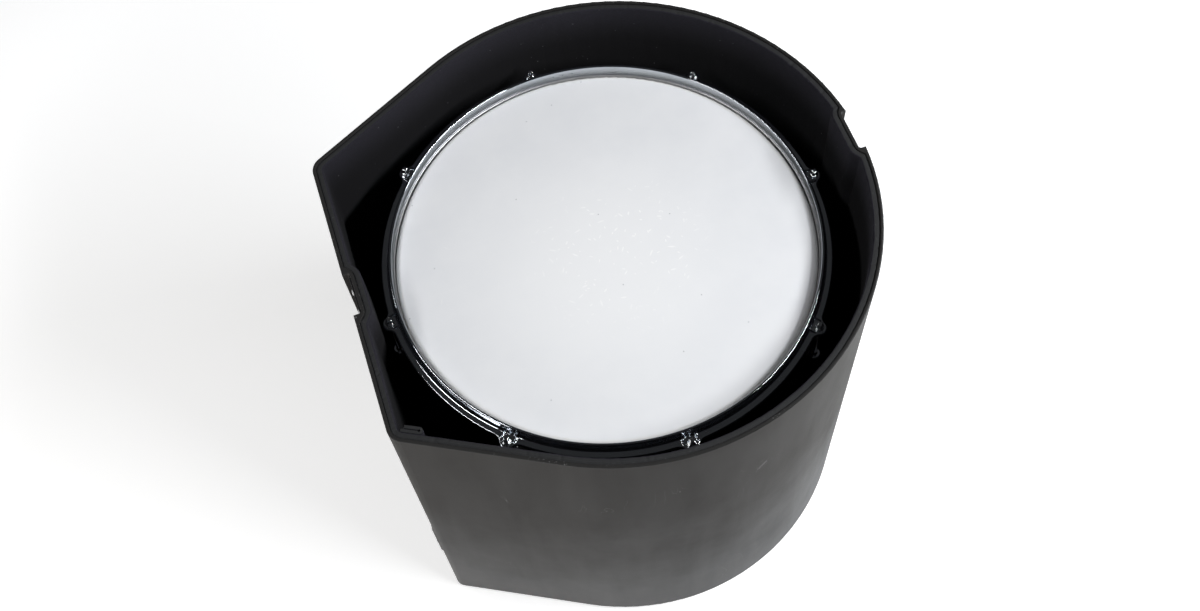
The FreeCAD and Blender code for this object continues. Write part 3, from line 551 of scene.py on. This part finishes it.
def mesh_piece(name, points, faces, materials, face_materials=None, attributes=None):
    """A smooth-shaded object from points and faces, with one material number a face."""
    mesh = bpy.data.meshes.new(name)
    mesh.from_pydata([tuple(p) for p in points], [], faces)
    for material in materials:
        mesh.materials.append(material)
    for polygon in mesh.polygons:
        polygon.use_smooth = True
        if face_materials is not None:
            polygon.material_index = face_materials[polygon.index]
    for key, values in (attributes or {}).items():
        mesh.attributes.new(key, "FLOAT", "POINT").data.foreach_set("value", values)
    mesh.validate()
    piece = bpy.data.objects.new(name, mesh)
    bpy.context.scene.collection.objects.link(piece)
    return piece


def tube_faces(rows, size, closed=False, flipped=False):
    """Quads between rows of points, each row a closed loop. closed joins the last row to the first."""
    faces = []
    for row in range(rows if closed else rows - 1):
        here = row * size
        there = (row + 1) % rows * size
        for k in range(size):
            after = (k + 1) % size
            quad = (here + k, here + after, there + after, there + k)
            faces.append((quad[0], quad[3], quad[2], quad[1]) if flipped else quad)
    return faces


def surface_of(node):
    """The CAD node's surface, to be met by rays."""
    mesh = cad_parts[node].data
    points = [vertex.co.copy() for vertex in mesh.vertices]
    return BVHTree.FromPolygons(points, [list(polygon.vertices) for polygon in mesh.polygons])


def both_faces(surface, start, direction):
    """Where a ray enters and leaves the first wall that it meets."""
    near = surface.ray_cast(start, direction)[0]
    far = surface.ray_cast(near + direction * 0.5 * MM, direction)[0]
    return near, far


def wave(point, size, seed):
    """Smooth noise from about -1 to 1, whose bumps are about size metres long."""
    return 2.0 * (noise.noise(point / size + Vector((seed, 2.0 * seed, 3.0 * seed))))


def even_directions(surface, centre, spacing):
    """Directions round an upright axis that meet the wall at even steps along it."""
    coarse = [2.0 * math.pi * i / 4000 for i in range(4001)]
    walked = [0.0]
    before = None
    for angle in coarse:
        here = surface.ray_cast(centre, Vector((math.cos(angle), math.sin(angle), 0.0)))[0]
        if before is not None:
            walked.append(walked[-1] + (here - before).length)
        before = here
    count = int(walked[-1] / spacing)
    directions = []
    k = 0
    for i in range(count):
        target = walked[-1] * i / count
        while walked[k + 1] < target:
            k += 1
        share = (target - walked[k]) / max(walked[k + 1] - walked[k], 1e-9)
        angle = coarse[k] + share * (coarse[k + 1] - coarse[k])
        directions.append(Vector((math.cos(angle), math.sin(angle), 0.0)))
    return directions


def lining_nicks(count):
    """Small torn places in the lining's cut edge: (share of the way round, half width, depth)."""
    chance = random.Random(41)
    nicks = []
    for _ in range(count):
        nicks.append((chance.random(), chance.uniform(*NICK_HALF_WIDTHS), chance.uniform(*NICK_DEPTHS)))
    return nicks


def nick_drop(nicks, share, run):
    """How far the torn places lower the cut edge, at a share of the way along a closed run."""
    drop = 0.0
    for at, half, depth in nicks:
        away = abs((share - at + 0.5) % 1.0 - 0.5) * run
        if away < half:
            drop = max(drop, depth * (1.0 - away / half))
    return drop


def face_point(surface, start, direction, below):
    """A point of the lining's inner face, below is its depth under the cut edge."""
    near = surface.ray_cast(start, direction)[0]
    swell = FACE_WAVE * wave(near, 0.11, 4.0) * min(1.0, below / 0.02)
    swell += FACE_PUCKER * wave(near, 0.012, 7.0)
    return near - direction * (FACE_WAVE + swell)


def cut_edge_points(surface, start, direction, top, drop):
    """The cut edge's points from the inner face to the outer: wavy, ridged, rough and nicked."""
    near, far = both_faces(surface, start, direction)
    near = near - direction * (0.3 * MM + EDGE_WANDER * wave(near, 0.02, 11.0))
    wobble = RIM_WOBBLE * (0.6 * wave(near, 0.045, 2.0) + 0.4 * wave(near, 0.007, 5.0) - 0.5)
    points = []
    for share, below in CUT_EDGE:
        from_middle = abs(2.0 * share - 1.0)
        point = near.lerp(far, share)
        point.z = top - below * MM + wobble * (1.0 - from_middle ** 3)
        ridges = CUT_RIDGE * math.sin(share * 19.0 + 2.0 * wave(near, 0.06, 9.0))
        rough = CUT_ROUGHNESS * wave(point, 0.0025, 3.0)
        point.z += (ridges + rough) * min(1.0, 3.0 * (1.0 - from_middle))
        point.z -= drop * min(1.0, 4.0 * (1.0 - share))
        points.append(point)
    return points


def wall_lining(face, edge):
    """The foam sheet inside the wall: its faces follow the frame, and its cut top edge is uneven."""
    surface = surface_of("wall_lining")
    top = LINING_HIGH.z
    centre = Vector((DRUM_X, DRUM_Y, top - 3.0 * MM))
    directions = even_directions(surface, centre, LINING_COLUMN)
    count = len(directions)
    face_levels = [top - CUT_EDGE_HEIGHT - depth * MM for depth in FACE_ROWS]
    face_levels.append(LINING_LOW.z + 0.3 * MM)
    back_levels = face_levels[::3] + [face_levels[-1]]
    nicks = lining_nicks(NICK_COUNT)
    points = []
    for i, direction in enumerate(directions):
        for level in reversed(face_levels):
            start = Vector((centre.x, centre.y, level))
            points.append(face_point(surface, start, direction, top - level))
        start = Vector((centre.x, centre.y, top - 2.0 * MM))
        drop = nick_drop(nicks, i / count, count * LINING_COLUMN)
        points += cut_edge_points(surface, start, direction, top, drop)
        for level in back_levels:
            start = Vector((centre.x, centre.y, level))
            points.append(both_faces(surface, start, direction)[1] - direction * 0.02 * MM)
    shares = [0.0] * len(face_levels) + [share for share, _ in CUT_EDGE] + [1.0] * len(back_levels)
    first_cut = len(face_levels) + 2
    last_cut = len(face_levels) + len(CUT_EDGE)
    numbers = [1 if first_cut <= k < last_cut else 0 for k in range(len(shares))] * count
    faces = tube_faces(count, len(shares), closed=True)
    piece = mesh_piece("lining_sheet", points, faces, [face, edge], numbers, {"across": shares * count})
    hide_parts("wall_lining")
    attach(piece, "case")


def remeshed(node, name, voxel, smoothing):
    """A finely meshed copy of a CAD node, to be worked on."""
    piece = bpy.data.objects.new(name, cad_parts[node].data.copy())
    bpy.context.scene.collection.objects.link(piece)
    piece.data.materials.clear()
    remesh = piece.modifiers.new("remesh", "REMESH")
    remesh.mode = "VOXEL"
    remesh.voxel_size = voxel
    smooth = piece.modifiers.new("smooth", "SMOOTH")
    smooth.iterations = smoothing
    smooth.factor = 0.5
    bpy.context.view_layer.update()
    evaluated = piece.evaluated_get(bpy.context.evaluated_depsgraph_get())
    mesh = bpy.data.meshes.new_from_object(evaluated)
    piece.modifiers.clear()
    piece.data = mesh
    return piece


def roughen(piece, coarse, coarse_size, fine, fine_size, seed):
    """Moves a mesh's points along their normals by two sizes of noise, never far outward."""
    mesh = piece.data
    normals = [vertex.normal.copy() for vertex in mesh.vertices]
    for vertex, normal in zip(mesh.vertices, normals):
        point = vertex.co.copy()
        shift = coarse * (wave(point, coarse_size, seed) - 0.7) + fine * (wave(point, fine_size, seed) - 0.7)
        vertex.co = point + normal * shift
    for polygon in mesh.polygons:
        polygon.use_smooth = True


def foam_piece(node, name, material, voxel, smoothing, coarse, fine):
    """A cut block or pad of foam: the node's shape with softened edges and an uneven face."""
    piece = remeshed(node, name, voxel, smoothing)
    roughen(piece, coarse, 0.06, fine, 4.0 * voxel, 6.0)
    piece.data.materials.append(material)
    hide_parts(node)
    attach(piece, "case")


def fold_outline():
    """The folded sheet's plan, as (along the wall, away from it): two layers, a slit and a loop."""
    middle = FOLD_LAYER + FOLD_SLIT / 2
    straight = FOLD_LENGTH - middle
    outline = [(straight * i / 24, 0.0) for i in range(25)]
    for i in range(1, 16):
        angle = -math.pi / 2 + math.pi * i / 16
        outline.append((straight + middle * math.cos(angle), middle + middle * math.sin(angle)))
    run = straight - FOLD_CUT_END
    outline += [(straight - run * i / 20, 2 * middle) for i in range(21)]
    outline += [(FOLD_CUT_END, 2 * middle - FOLD_LAYER * i / 4) for i in range(1, 4)]
    opening = math.asin(FOLD_SLIT / 2 / FOLD_LOOP)
    loop_start = straight - FOLD_LOOP * math.cos(opening)
    run = loop_start - FOLD_CUT_END
    outline += [(FOLD_CUT_END + run * i / 20, middle + FOLD_SLIT / 2) for i in range(20)]
    for i in range(15):
        angle = math.pi - opening - 2.0 * (math.pi - opening) * i / 14
        outline.append((straight + FOLD_LOOP * math.cos(angle), middle + FOLD_LOOP * math.sin(angle)))
    outline += [(loop_start * (1.0 - i / 24), middle - FOLD_SLIT / 2) for i in range(1, 25)]
    outline += [(0.0, FOLD_LAYER * (1.0 - i / 4)) for i in range(1, 4)]
    return outline


def fold_point(outline, k, inset, below):
    """A point of the folded sheet as (along the wall, away from it), inset from its plan's outline."""
    reach, offset = outline[k]
    before = Vector(outline[k - 1])
    after = Vector(outline[(k + 1) % len(outline)])
    step = (after - before).normalized()
    into = Vector((-step.y, step.x)) * inset * MM
    drift = FOLD_DRIFT * wave(Vector((reach, 0.0, below)), 0.03, 4.0)
    return reach + into.x, offset + into.y + drift


def folded_lining(face, edge):
    """The lining's end, turned back on itself in the corner: a tall sheet with a cut top edge."""
    low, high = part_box("lining_fold")
    surface = surface_of("wall_lining")
    toward_wall = Vector((0.0, -1.0, 0.0))
    look_y = low.y + 40.0 * MM
    near_x, far_x = low.x + 1.0 * MM, low.x + 21.0 * MM
    level = LINING_HIGH.z - 3.0 * MM
    near = surface.ray_cast(Vector((near_x, look_y, level)), toward_wall)[0]
    far = surface.ray_cast(Vector((far_x, look_y, level)), toward_wall)[0]
    foot = surface.ray_cast(Vector((far_x, look_y, low.z + 5.0 * MM)), toward_wall)[0]
    along = (far - near).normalized()
    across = Vector((-along.y, along.x, 0.0))
    start = near - along * FOLD_TUCK + across * FOLD_GAP
    start.z = high.z
    # the sheet leans in step with both walls of its corner
    lean = Vector((1.0, 0.0, 0.0)) + across
    inward = (foot - far).dot(across) / lean.dot(across)
    depth = high.z - low.z
    outline = fold_outline()
    size = len(outline)
    # rows of points as (millimetres below the top, millimetres inset)
    levels = [(0.0, 0.45), (0.18, 0.2), (0.5, 0.05), (1.0, 0.0)]
    levels += [(depth / MM * share, 0.0) for share in FOLD_ROWS]
    points = []
    for below, inset in levels:
        for k, (reach, offset) in enumerate(outline):
            out, away = fold_point(outline, k, inset, below * MM)
            point = start + along * out + across * away + lean * (inward * below * MM / depth)
            point.z = high.z - below * MM
            if below < 0.6:
                point.z += FOLD_ROUGHNESS * (wave(Vector((reach, offset, 0.0)), 0.004, 6.0) - 1.0)
            points.append(point)
    shares = [offset / FOLD_LAYER for _, offset in outline] * len(levels)
    walls = tube_faces(len(levels), size, flipped=True)
    top_face = tuple(range(size))
    bottom_face = tuple(reversed(range(len(points) - size, len(points))))
    faces = [top_face] + walls + [bottom_face]
    numbers = [1] + [1 if i < 2 * size else 0 for i in range(len(walls))] + [0]
    piece = mesh_piece("lining_fold_sheet", points, faces, [face, edge], numbers, {"across": shares})
    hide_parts("lining_fold")
    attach(piece, "case")


def strap_line(surface, middle, along):
    """Points along the webbing's middle, from its end under the rim to its end on the round side."""
    low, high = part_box("case_strap")
    rivet_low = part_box("strap_rivets")[0].z
    start = math.pi + math.atan2(high.z - middle.z - 1.0 * MM, middle.x - low.x)
    round_top = rivet_low + STRAP_PAST_RIVETS
    end = -math.atan2(round_top - middle.z, high.x - middle.x)
    steps = 3000
    hits = []
    for i in range(steps + 1):
        angle = start + (end - start) * i / steps
        direction = along * math.cos(angle) + Vector((0.0, 0.0, -math.sin(angle)))
        near = surface.ray_cast(middle, direction)[0]
        if near is not None:
            far = surface.ray_cast(near + direction * 0.2 * MM, direction)[0]
            hits.append((near + far) / 2 if far is not None else near)
    line = [hits[0]]
    for point in hits[1:]:
        if (point - line[-1]).length >= STRAP_STEP:
            line.append(point)
    return line


def strap_section():
    """The band's section as (sideways, outward): ribs along both faces, and thin edges."""
    section = []
    steps = 4 * STRAP_RIBS
    for side in (1.0, -1.0):
        for i in range(steps + 1):
            share = side * (1.0 - 2.0 * i / steps)
            furrow = 0.5 - 0.5 * math.cos(2.0 * math.pi * STRAP_RIBS * (share + 1.0) / 2.0)
            crown = 1.0 - STRAP_RIB_DEPTH * furrow
            edge = math.sqrt(max(0.0, 1.0 - max(0.0, (abs(share) - 0.96) / 0.04) ** 2))
            thickness = STRAP_HALF_THICKNESS * crown * max(edge, 0.05)
            section.append((share * STRAP_HALF_WIDTH, side * thickness))
    return section


def middle_of_end(mesh, kept):
    """The middle, in y, of a mesh's points whose x passes a test."""
    values = [vertex.co.y for vertex in mesh.vertices if kept(vertex.co.x)]
    return (min(values) + max(values)) / 2


def strap_webbing(material):
    """The strap: a ribbed woven band that lies in the case's channels."""
    surface = surface_of("case_strap")
    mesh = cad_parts["case_strap"].data
    low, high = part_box("case_strap")
    left_y = middle_of_end(mesh, lambda x: x < low.x + 15.0 * MM)
    right_y = middle_of_end(mesh, lambda x: x > high.x - 15.0 * MM)
    along = Vector((high.x - low.x, right_y - left_y, 0.0)).normalized()
    sideways = Vector((-along.y, along.x, 0.0))
    middle = Vector(((low.x + high.x) / 2, (left_y + right_y) / 2, 0.25))
    line = strap_line(surface, middle, along)
    section = strap_section()
    points = []
    run = []
    walked = 0.0
    for k, here in enumerate(line):
        before = line[max(k - 1, 0)]
        after = line[min(k + 1, len(line) - 1)]
        outward = (after - before).normalized().cross(sideways).normalized()
        walked += (here - before).length
        wander = STRAP_WANDER * wave(Vector((walked, 0.0, 0.0)), 0.12, 8.0)
        for x, y in section:
            points.append(here + sideways * (x + wander) + outward * y)
            run.append(walked)
    side = [x for x, _ in section] * len(line)
    size = len(section)
    faces = tube_faces(len(line), size)
    faces.append(tuple(reversed(range(size))))
    faces.append(tuple(range(len(points) - size, len(points))))
    piece = mesh_piece("strap_band", points, faces, [material], None, {"along": run, "sideways": side})
    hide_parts("case_strap")
    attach(piece, "case")


def rounded_corner(before, corner, after, radius, steps):
    """Points on the arc that rounds one corner of an outline."""
    to_before = (before - corner).normalized()
    to_after = (after - corner).normalized()
    half = to_before.angle(to_after) / 2
    centre = corner + (to_before + to_after).normalized() * (radius / math.sin(half))
    first = corner + to_before * (radius / math.tan(half)) - centre
    last = corner + to_after * (radius / math.tan(half)) - centre
    return [centre + first.lerp(last, i / steps).normalized() * radius for i in range(steps + 1)]


def hoop_section(reach, dip):
    """The hoop's section as (radius, height) points, where its flange ends at reach, dip lower."""
    top = FLANGE_TOP - dip
    # each corner's radius and height, its rounding in millimetres, the steps of its arc, and the
    # points on the straight run after it
    outline = [
        (LIP_INNER, HOOP_SEAT, 0.6, 2, 2),
        (SKIRT_INNER, HOOP_SEAT, 0.8, 2, 2),
        (SKIRT_INNER, SKIRT_END, 1.0, 3, 2),
        (SKIRT_OUTER, SKIRT_END, 1.0, 3, 2),
        (SKIRT_OUTER, FLANGE_BOTTOM, 1.4, 3, 2),
        (reach, FLANGE_BOTTOM, 1.6, 6, 2),
        (reach, top, 1.6, 7, 9),
        (LIP_OUTER + 1.6 * MM, top + 0.4 * MM, 3.6, 7, 4),
        (LIP_OUTER, 0.0, 1.6, 7, 2),
        (LIP_INNER, 0.0, 1.6, 7, 4),
    ]
    corners = [Vector(corner[:2]) for corner in outline]
    arcs = []
    for i, (_, _, rounding, steps, _) in enumerate(outline):
        after = corners[(i + 1) % len(corners)]
        arcs.append(rounded_corner(corners[i - 1], corners[i], after, rounding * MM, steps))
    points = []
    for i, arc in enumerate(arcs):
        points += arc
        start, end = arc[-1], arcs[(i + 1) % len(arcs)][0]
        support = min(0.25 * MM / max((end - start).length, 1e-6), 0.3)
        run = outline[i][4]
        for k in range(run):
            points.append(start.lerp(end, support + (1.0 - 2.0 * support) * k / (run - 1)))
    return points


def flange_reach(turn):
    """The flange's outer radius at an angle from the nearest rod: ear, hollow fillet, then round."""
    from_hollow = FLANGE_OUTER + EAR_FILLET
    along = (ROD_CIRCLE ** 2 + from_hollow ** 2 - (EAR_RADIUS + EAR_FILLET) ** 2) / (2 * ROD_CIRCLE)
    hollow_turn = math.acos(along / from_hollow)
    hollow_side = from_hollow * math.sin(hollow_turn)
    share = EAR_RADIUS / (EAR_RADIUS + EAR_FILLET)
    ear_turn = math.atan2(share * hollow_side, ROD_CIRCLE + share * (along - ROD_CIRCLE))
    turn = abs(turn)
    if turn <= ear_turn:
        side = ROD_CIRCLE * math.sin(turn)
        return ROD_CIRCLE * math.cos(turn) + math.sqrt(EAR_RADIUS ** 2 - side ** 2)
    if turn < hollow_turn:
        side = from_hollow * math.sin(hollow_turn - turn)
        return from_hollow * math.cos(hollow_turn - turn) - math.sqrt(EAR_FILLET ** 2 - side ** 2)
    return FLANGE_OUTER


def smooth_share(value, low, high):
    """0 at or below low and 1 at or above high, smooth in between."""
    share = min(1.0, max(0.0, (value - low) / (high - low)))
    return share * share * (3.0 - 2.0 * share)


def hoop_turns(rod_angles):
    """The sweep's steps as (angle, angle from the nearest rod): close together at the ears."""
    turns = []
    pitch = 2.0 * math.pi / len(rod_angles)
    for rod_angle in rod_angles:
        offset = -pitch / 2
        while offset < pitch / 2 - math.radians(0.02):
            turns.append((rod_angle + offset, offset))
            away = math.degrees(abs(offset))
            step = 0.08 if away < 2.5 else 0.2 if away < 4.0 else 0.5
            offset += math.radians(step)
    return turns


def rib_lift(radius, height, offset):
    """How far an ear's rib raises a point of the flange or lip, at an angle from the rod."""
    on_top = height > FLANGE_BOTTOM + 2.0 * MM
    if not on_top or not LIP_OUTER < radius < RIB_FOOT_RADIUS:
        return 0.0
    from_rib = abs(abs(radius * math.sin(offset)) - RIB_SIDE)
    in_rib = 1.0 - smooth_share(from_rib, RIB_HALF - 0.4 * MM, RIB_HALF + 0.5 * MM)
    slope = RIB_RISE / (RIB_FOOT_RADIUS - LIP_OUTER + 1.0 * MM)
    crest = RIB_FOOT + slope * (RIB_FOOT_RADIUS - radius)
    return max(0.0, crest - height) * in_rib


def cast_hoop(material):
    """The counterhoop swept round the drum, whose flange grows into an ear with two ribs at each rod."""
    rods = [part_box(name) for name in numbered("tension_rod_")]
    rod_angles = sorted(math.atan2((low.y + high.y) / 2 - DRUM_Y, (low.x + high.x) / 2 - DRUM_X)
                        for low, high in rods)
    points = []
    turns = hoop_turns(rod_angles)
    for angle, offset in turns:
        dip = EAR_DIP * (1.0 - smooth_share(abs(offset), math.radians(2.2), math.radians(3.8)))
        section = hoop_section(flange_reach(offset), dip)
        for radius, height in section:
            level = HOOP_TOP + height + rib_lift(radius, height, offset)
            points.append((DRUM_X + radius * math.cos(angle), DRUM_Y + radius * math.sin(angle), level))
    faces = tube_faces(len(turns), len(section), closed=True, flipped=True)
    piece = mesh_piece("cast_hoop", points, faces, [material])
    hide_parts("counterhoop")
    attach(piece, "hoop")


def rod_ring(height, half, squareness=2.0):
    """One level of a rod: a circle at squareness 2, and nearer a square as it grows."""
    ring = []
    for i in range(RING_POINTS):
        angle = 2.0 * math.pi * i / RING_POINTS
        across, along = math.cos(angle), math.sin(angle)
        reach = (abs(across) ** squareness + abs(along) ** squareness) ** (-1.0 / squareness)
        ring.append((half * reach * across, half * reach * along, height))
    return ring


def shank_rings(bottom, seat):
    """The shank, from its chamfered tip up to the underside of the collar."""
    return [
        rod_ring(bottom, ROD_RADIUS - ROD_TIP),
        rod_ring(bottom + ROD_TIP, ROD_RADIUS),
        rod_ring(bottom + ROD_TIP + 0.3 * MM, ROD_RADIUS),
        rod_ring(seat - 0.2 * MM, ROD_RADIUS),
        rod_ring(seat, ROD_RADIUS + 0.2 * MM),
        rod_ring(seat, COLLAR_RADIUS - 0.5 * MM),
    ]


def collar_rings(seat):
    """The collar's rounded side."""
    rings = []
    half = COLLAR_HEIGHT / 2 * 0.98
    for i in range(7):
        angle = math.pi * (i / 6 - 0.5)
        out = COLLAR_ROUNDING * math.cos(angle)
        rings.append(rod_ring(seat + half + half * math.sin(angle), COLLAR_RADIUS - COLLAR_ROUNDING + out))
    return rings


def key_rings(foot, top):
    """The square key head: a hollow foot on the collar, upright sides, an eased top."""
    rings = [
        rod_ring(foot, KEY_HALF + 1.0 * MM, 2.6),
        rod_ring(foot + 0.15 * MM, KEY_HALF + 0.25 * MM, 5.0),
        rod_ring(foot + 0.6 * MM, KEY_HALF, KEY_SQUARENESS),
        rod_ring(top - 1.8 * MM, KEY_HALF, KEY_SQUARENESS),
    ]
    for i in range(9):
        angle = math.pi / 2 * i / 8
        half = KEY_HALF - KEY_ROUNDING * (1.0 - math.cos(angle))
        height = top - KEY_ROUNDING - KEY_CROWN + KEY_ROUNDING * math.sin(angle)
        rings.append(rod_ring(height, half, KEY_SQUARENESS - 3.0 * i / 8))
    rings.append(rod_ring(top - 0.05 * MM, 0.9 * MM, 3.0))
    return rings


def tension_rod(node, material):
    """A rod of one piece: a shank, a round collar, and a square key head whose edges are eased."""
    low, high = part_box(node)
    middle_x, middle_y = (low.x + high.x) / 2, (low.y + high.y) / 2
    turn = math.atan2(middle_y - DRUM_Y, middle_x - DRUM_X)
    foot = high.z - KEY_HEIGHT
    seat = foot - COLLAR_HEIGHT
    rings = shank_rings(low.z, seat) + collar_rings(seat) + key_rings(foot, high.z)
    points = []
    for ring in rings:
        for x, y, z in ring:
            points.append((middle_x + x * math.cos(turn) - y * math.sin(turn),
                           middle_y + x * math.sin(turn) + y * math.cos(turn), z))
    faces = [tuple(reversed(range(RING_POINTS)))] + tube_faces(len(rings), RING_POINTS)
    faces.append(tuple(range(len(points) - RING_POINTS, len(points))))
    piece = mesh_piece(node.replace("tension_rod", "key_rod"), points, faces, [material])
    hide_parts(node)
    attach(piece, node.replace("tension_rod", "rod"))


# ---------------------------------------------------------------- the CAD pieces' finishes

def dress(nodes, material):
    """Gives CAD nodes a finish, and leaves their shapes alone."""
    for node in nodes:
        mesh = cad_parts[node].data
        mesh.materials.clear()
        mesh.materials.append(material)


def numbered(stem):
    """The nodes whose names start with stem, in order."""
    return sorted(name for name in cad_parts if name.startswith(stem))


def dress_frame():
    """Finishes for the nodes that keep their own shapes, and the rods, which share their washers' plate."""
    dress(["case_shell"], shell_plastic())
    dress(["back_skid_near", "back_skid_far"], moulded_black())
    dress(["strap_rivets", "skid_rivets"], plain_metal("rivet_steel", (0.42, 0.42, 0.43), 0.30))
    dress(["kettle_bowl"], gel_coat())
    dress(["bearing_ring"], turned_metal("bearing_steel", (0.56, 0.56, 0.58)))
    dress(["flesh_hoop"], turned_metal("flesh_aluminium", (0.68, 0.68, 0.69)))
    plate = chrome("rod_chrome", (0.66, 0.68, 0.70), 0.09, 0.35)
    dress(["rod_washers"], plate)
    for node in numbered("tension_rod_"):
        tension_rod(node, plate)
    casing_plate = chrome("casing_chrome", (0.60, 0.62, 0.66), 0.07, 0.35)
    dress(numbered("lug_casing_") + ["vent_grommet"], casing_plate)
    dress(["lug_screws", "lug_screw_washers"], plain_metal("screw_steel", (0.50, 0.50, 0.50), 0.30))
    dress(["swivel_nuts"], plain_metal("nut_brass", (0.66, 0.50, 0.24), 0.25))
    dress(["nut_retainers"], nylon())
    dress(["lug_gaskets"], rubber())
    dress(["head_film"], coated_film())


# ---------------------------------------------------------------- studio

def studio_floor():
    """A wide sheet of paper under the case."""
    reach = FLOOR_REACH
    corners = [(-reach, -reach, 0.0), (reach, -reach, 0.0), (reach, reach, 0.0), (-reach, reach, 0.0)]
    floor = mesh_piece("studio_floor", corners, [(0, 1, 2, 3)], [floor_paper()])


def area_light(name, place_at, look_at, size, power, colour):
    """A rectangular lamp that the camera doesn't see."""
    data = bpy.data.lights.new(name, "AREA")
    data.shape = "RECTANGLE"
    data.size, data.size_y = size
    data.energy = power
    data.color = colour
    light = bpy.data.objects.new(name, data)
    light.location = place_at
    light.rotation_mode = "QUATERNION"
    light.rotation_quaternion = (Vector(look_at) - Vector(place_at)).to_track_quat("-Z", "Y")
    light.visible_camera = False
    bpy.context.scene.collection.objects.link(light)


def studio_light():
    """A dim room, a high strip and a low box on each side, and two faint cards for the chrome."""
    world = bpy.data.worlds.new("studio_world")
    world.use_nodes = True
    background = world.node_tree.nodes["Background"]
    background.inputs["Color"].default_value = (0.95, 0.97, 1.0, 1.0)
    background.inputs["Strength"].default_value = ROOM_STRENGTH
    bpy.context.scene.world = world
    drum = (DRUM_X, DRUM_Y, HOOP_TOP)
    base = (DRUM_X, DRUM_Y, 0.2)
    area_light("high_strip_flat_side", (-1.30, 0.20, 2.1), drum, (1.9, 0.2), 14.5, (1.0, 1.0, 1.0))
    area_light("high_strip_round_side", (1.30, -0.80, 1.9), drum, (1.9, 0.2), 47.0, (0.97, 0.985, 1.0))
    area_light("low_box_round_side", (2.1, -0.45, 0.33), base, (1.3, 0.42), 62.0, (0.94, 0.97, 1.0))
    area_light("low_box_flat_side", (-2.0, -0.7, 0.33), base, (1.3, 0.42), 31.0, (1.0, 0.98, 0.95))
    area_light("near_card", (-0.3, -2.5, 1.5), drum, (2.6, 0.35), 1.5, (0.72, 0.82, 1.0))
    area_light("far_card", (0.2, 2.4, 1.4), drum, (1.6, 0.25), 0.7, (1.0, 0.93, 0.86))


def studio_camera():
    """The camera, aimed near the drum's middle from the near side, high up and a little rolled."""
    data = bpy.data.cameras.new("camera")
    data.lens = CAMERA_LENS
    data.sensor_width = CAMERA_SENSOR
    camera = bpy.data.objects.new("camera", data)
    bpy.context.scene.collection.objects.link(camera)
    level = math.cos(CAMERA_ELEVATION)
    back = Vector((math.sin(CAMERA_AZIMUTH) * level, -math.cos(CAMERA_AZIMUTH) * level,
                   math.sin(CAMERA_ELEVATION)))
    aim = Vector((DRUM_X, DRUM_Y, HOOP_TOP)) + AIM_FROM_DRUM
    camera.location = aim + back * CAMERA_DISTANCE
    camera.rotation_mode = "QUATERNION"
    camera.rotation_quaternion = (-back).to_track_quat("-Z", "Y")
    camera.rotation_quaternion = Quaternion(back, CAMERA_ROLL) @ camera.rotation_quaternion
    bpy.context.scene.camera = camera


def main():
    """Finishes every node, then sets up the studio round the object."""
    bpy.context.scene.view_settings.view_transform = "Standard"
    face = lining_face()
    edge = cut_foam("lining_edge", (0.025, 0.0255, 0.0265))
    dress_frame()
    wall_lining(face, edge)
    folded_lining(face, edge)
    cradle = cell_foam("cradle_foam", (0.008, 0.008, 0.009), (0.035, 0.035, 0.038))
    foam_piece("foam_cradle", "cradle_block", cradle,
               voxel=5.0 * MM, smoothing=3, coarse=0.8 * MM, fine=0.4 * MM)
    foam_piece("floor_pad", "base_pad", face,
               voxel=3.0 * MM, smoothing=1, coarse=0.3 * MM, fine=0.2 * MM)
    cast_hoop(chrome("hoop_chrome", (0.58, 0.61, 0.65), 0.07, 0.30))
    strap_webbing(webbing())
    studio_floor()
    studio_light()
    studio_camera()


main()
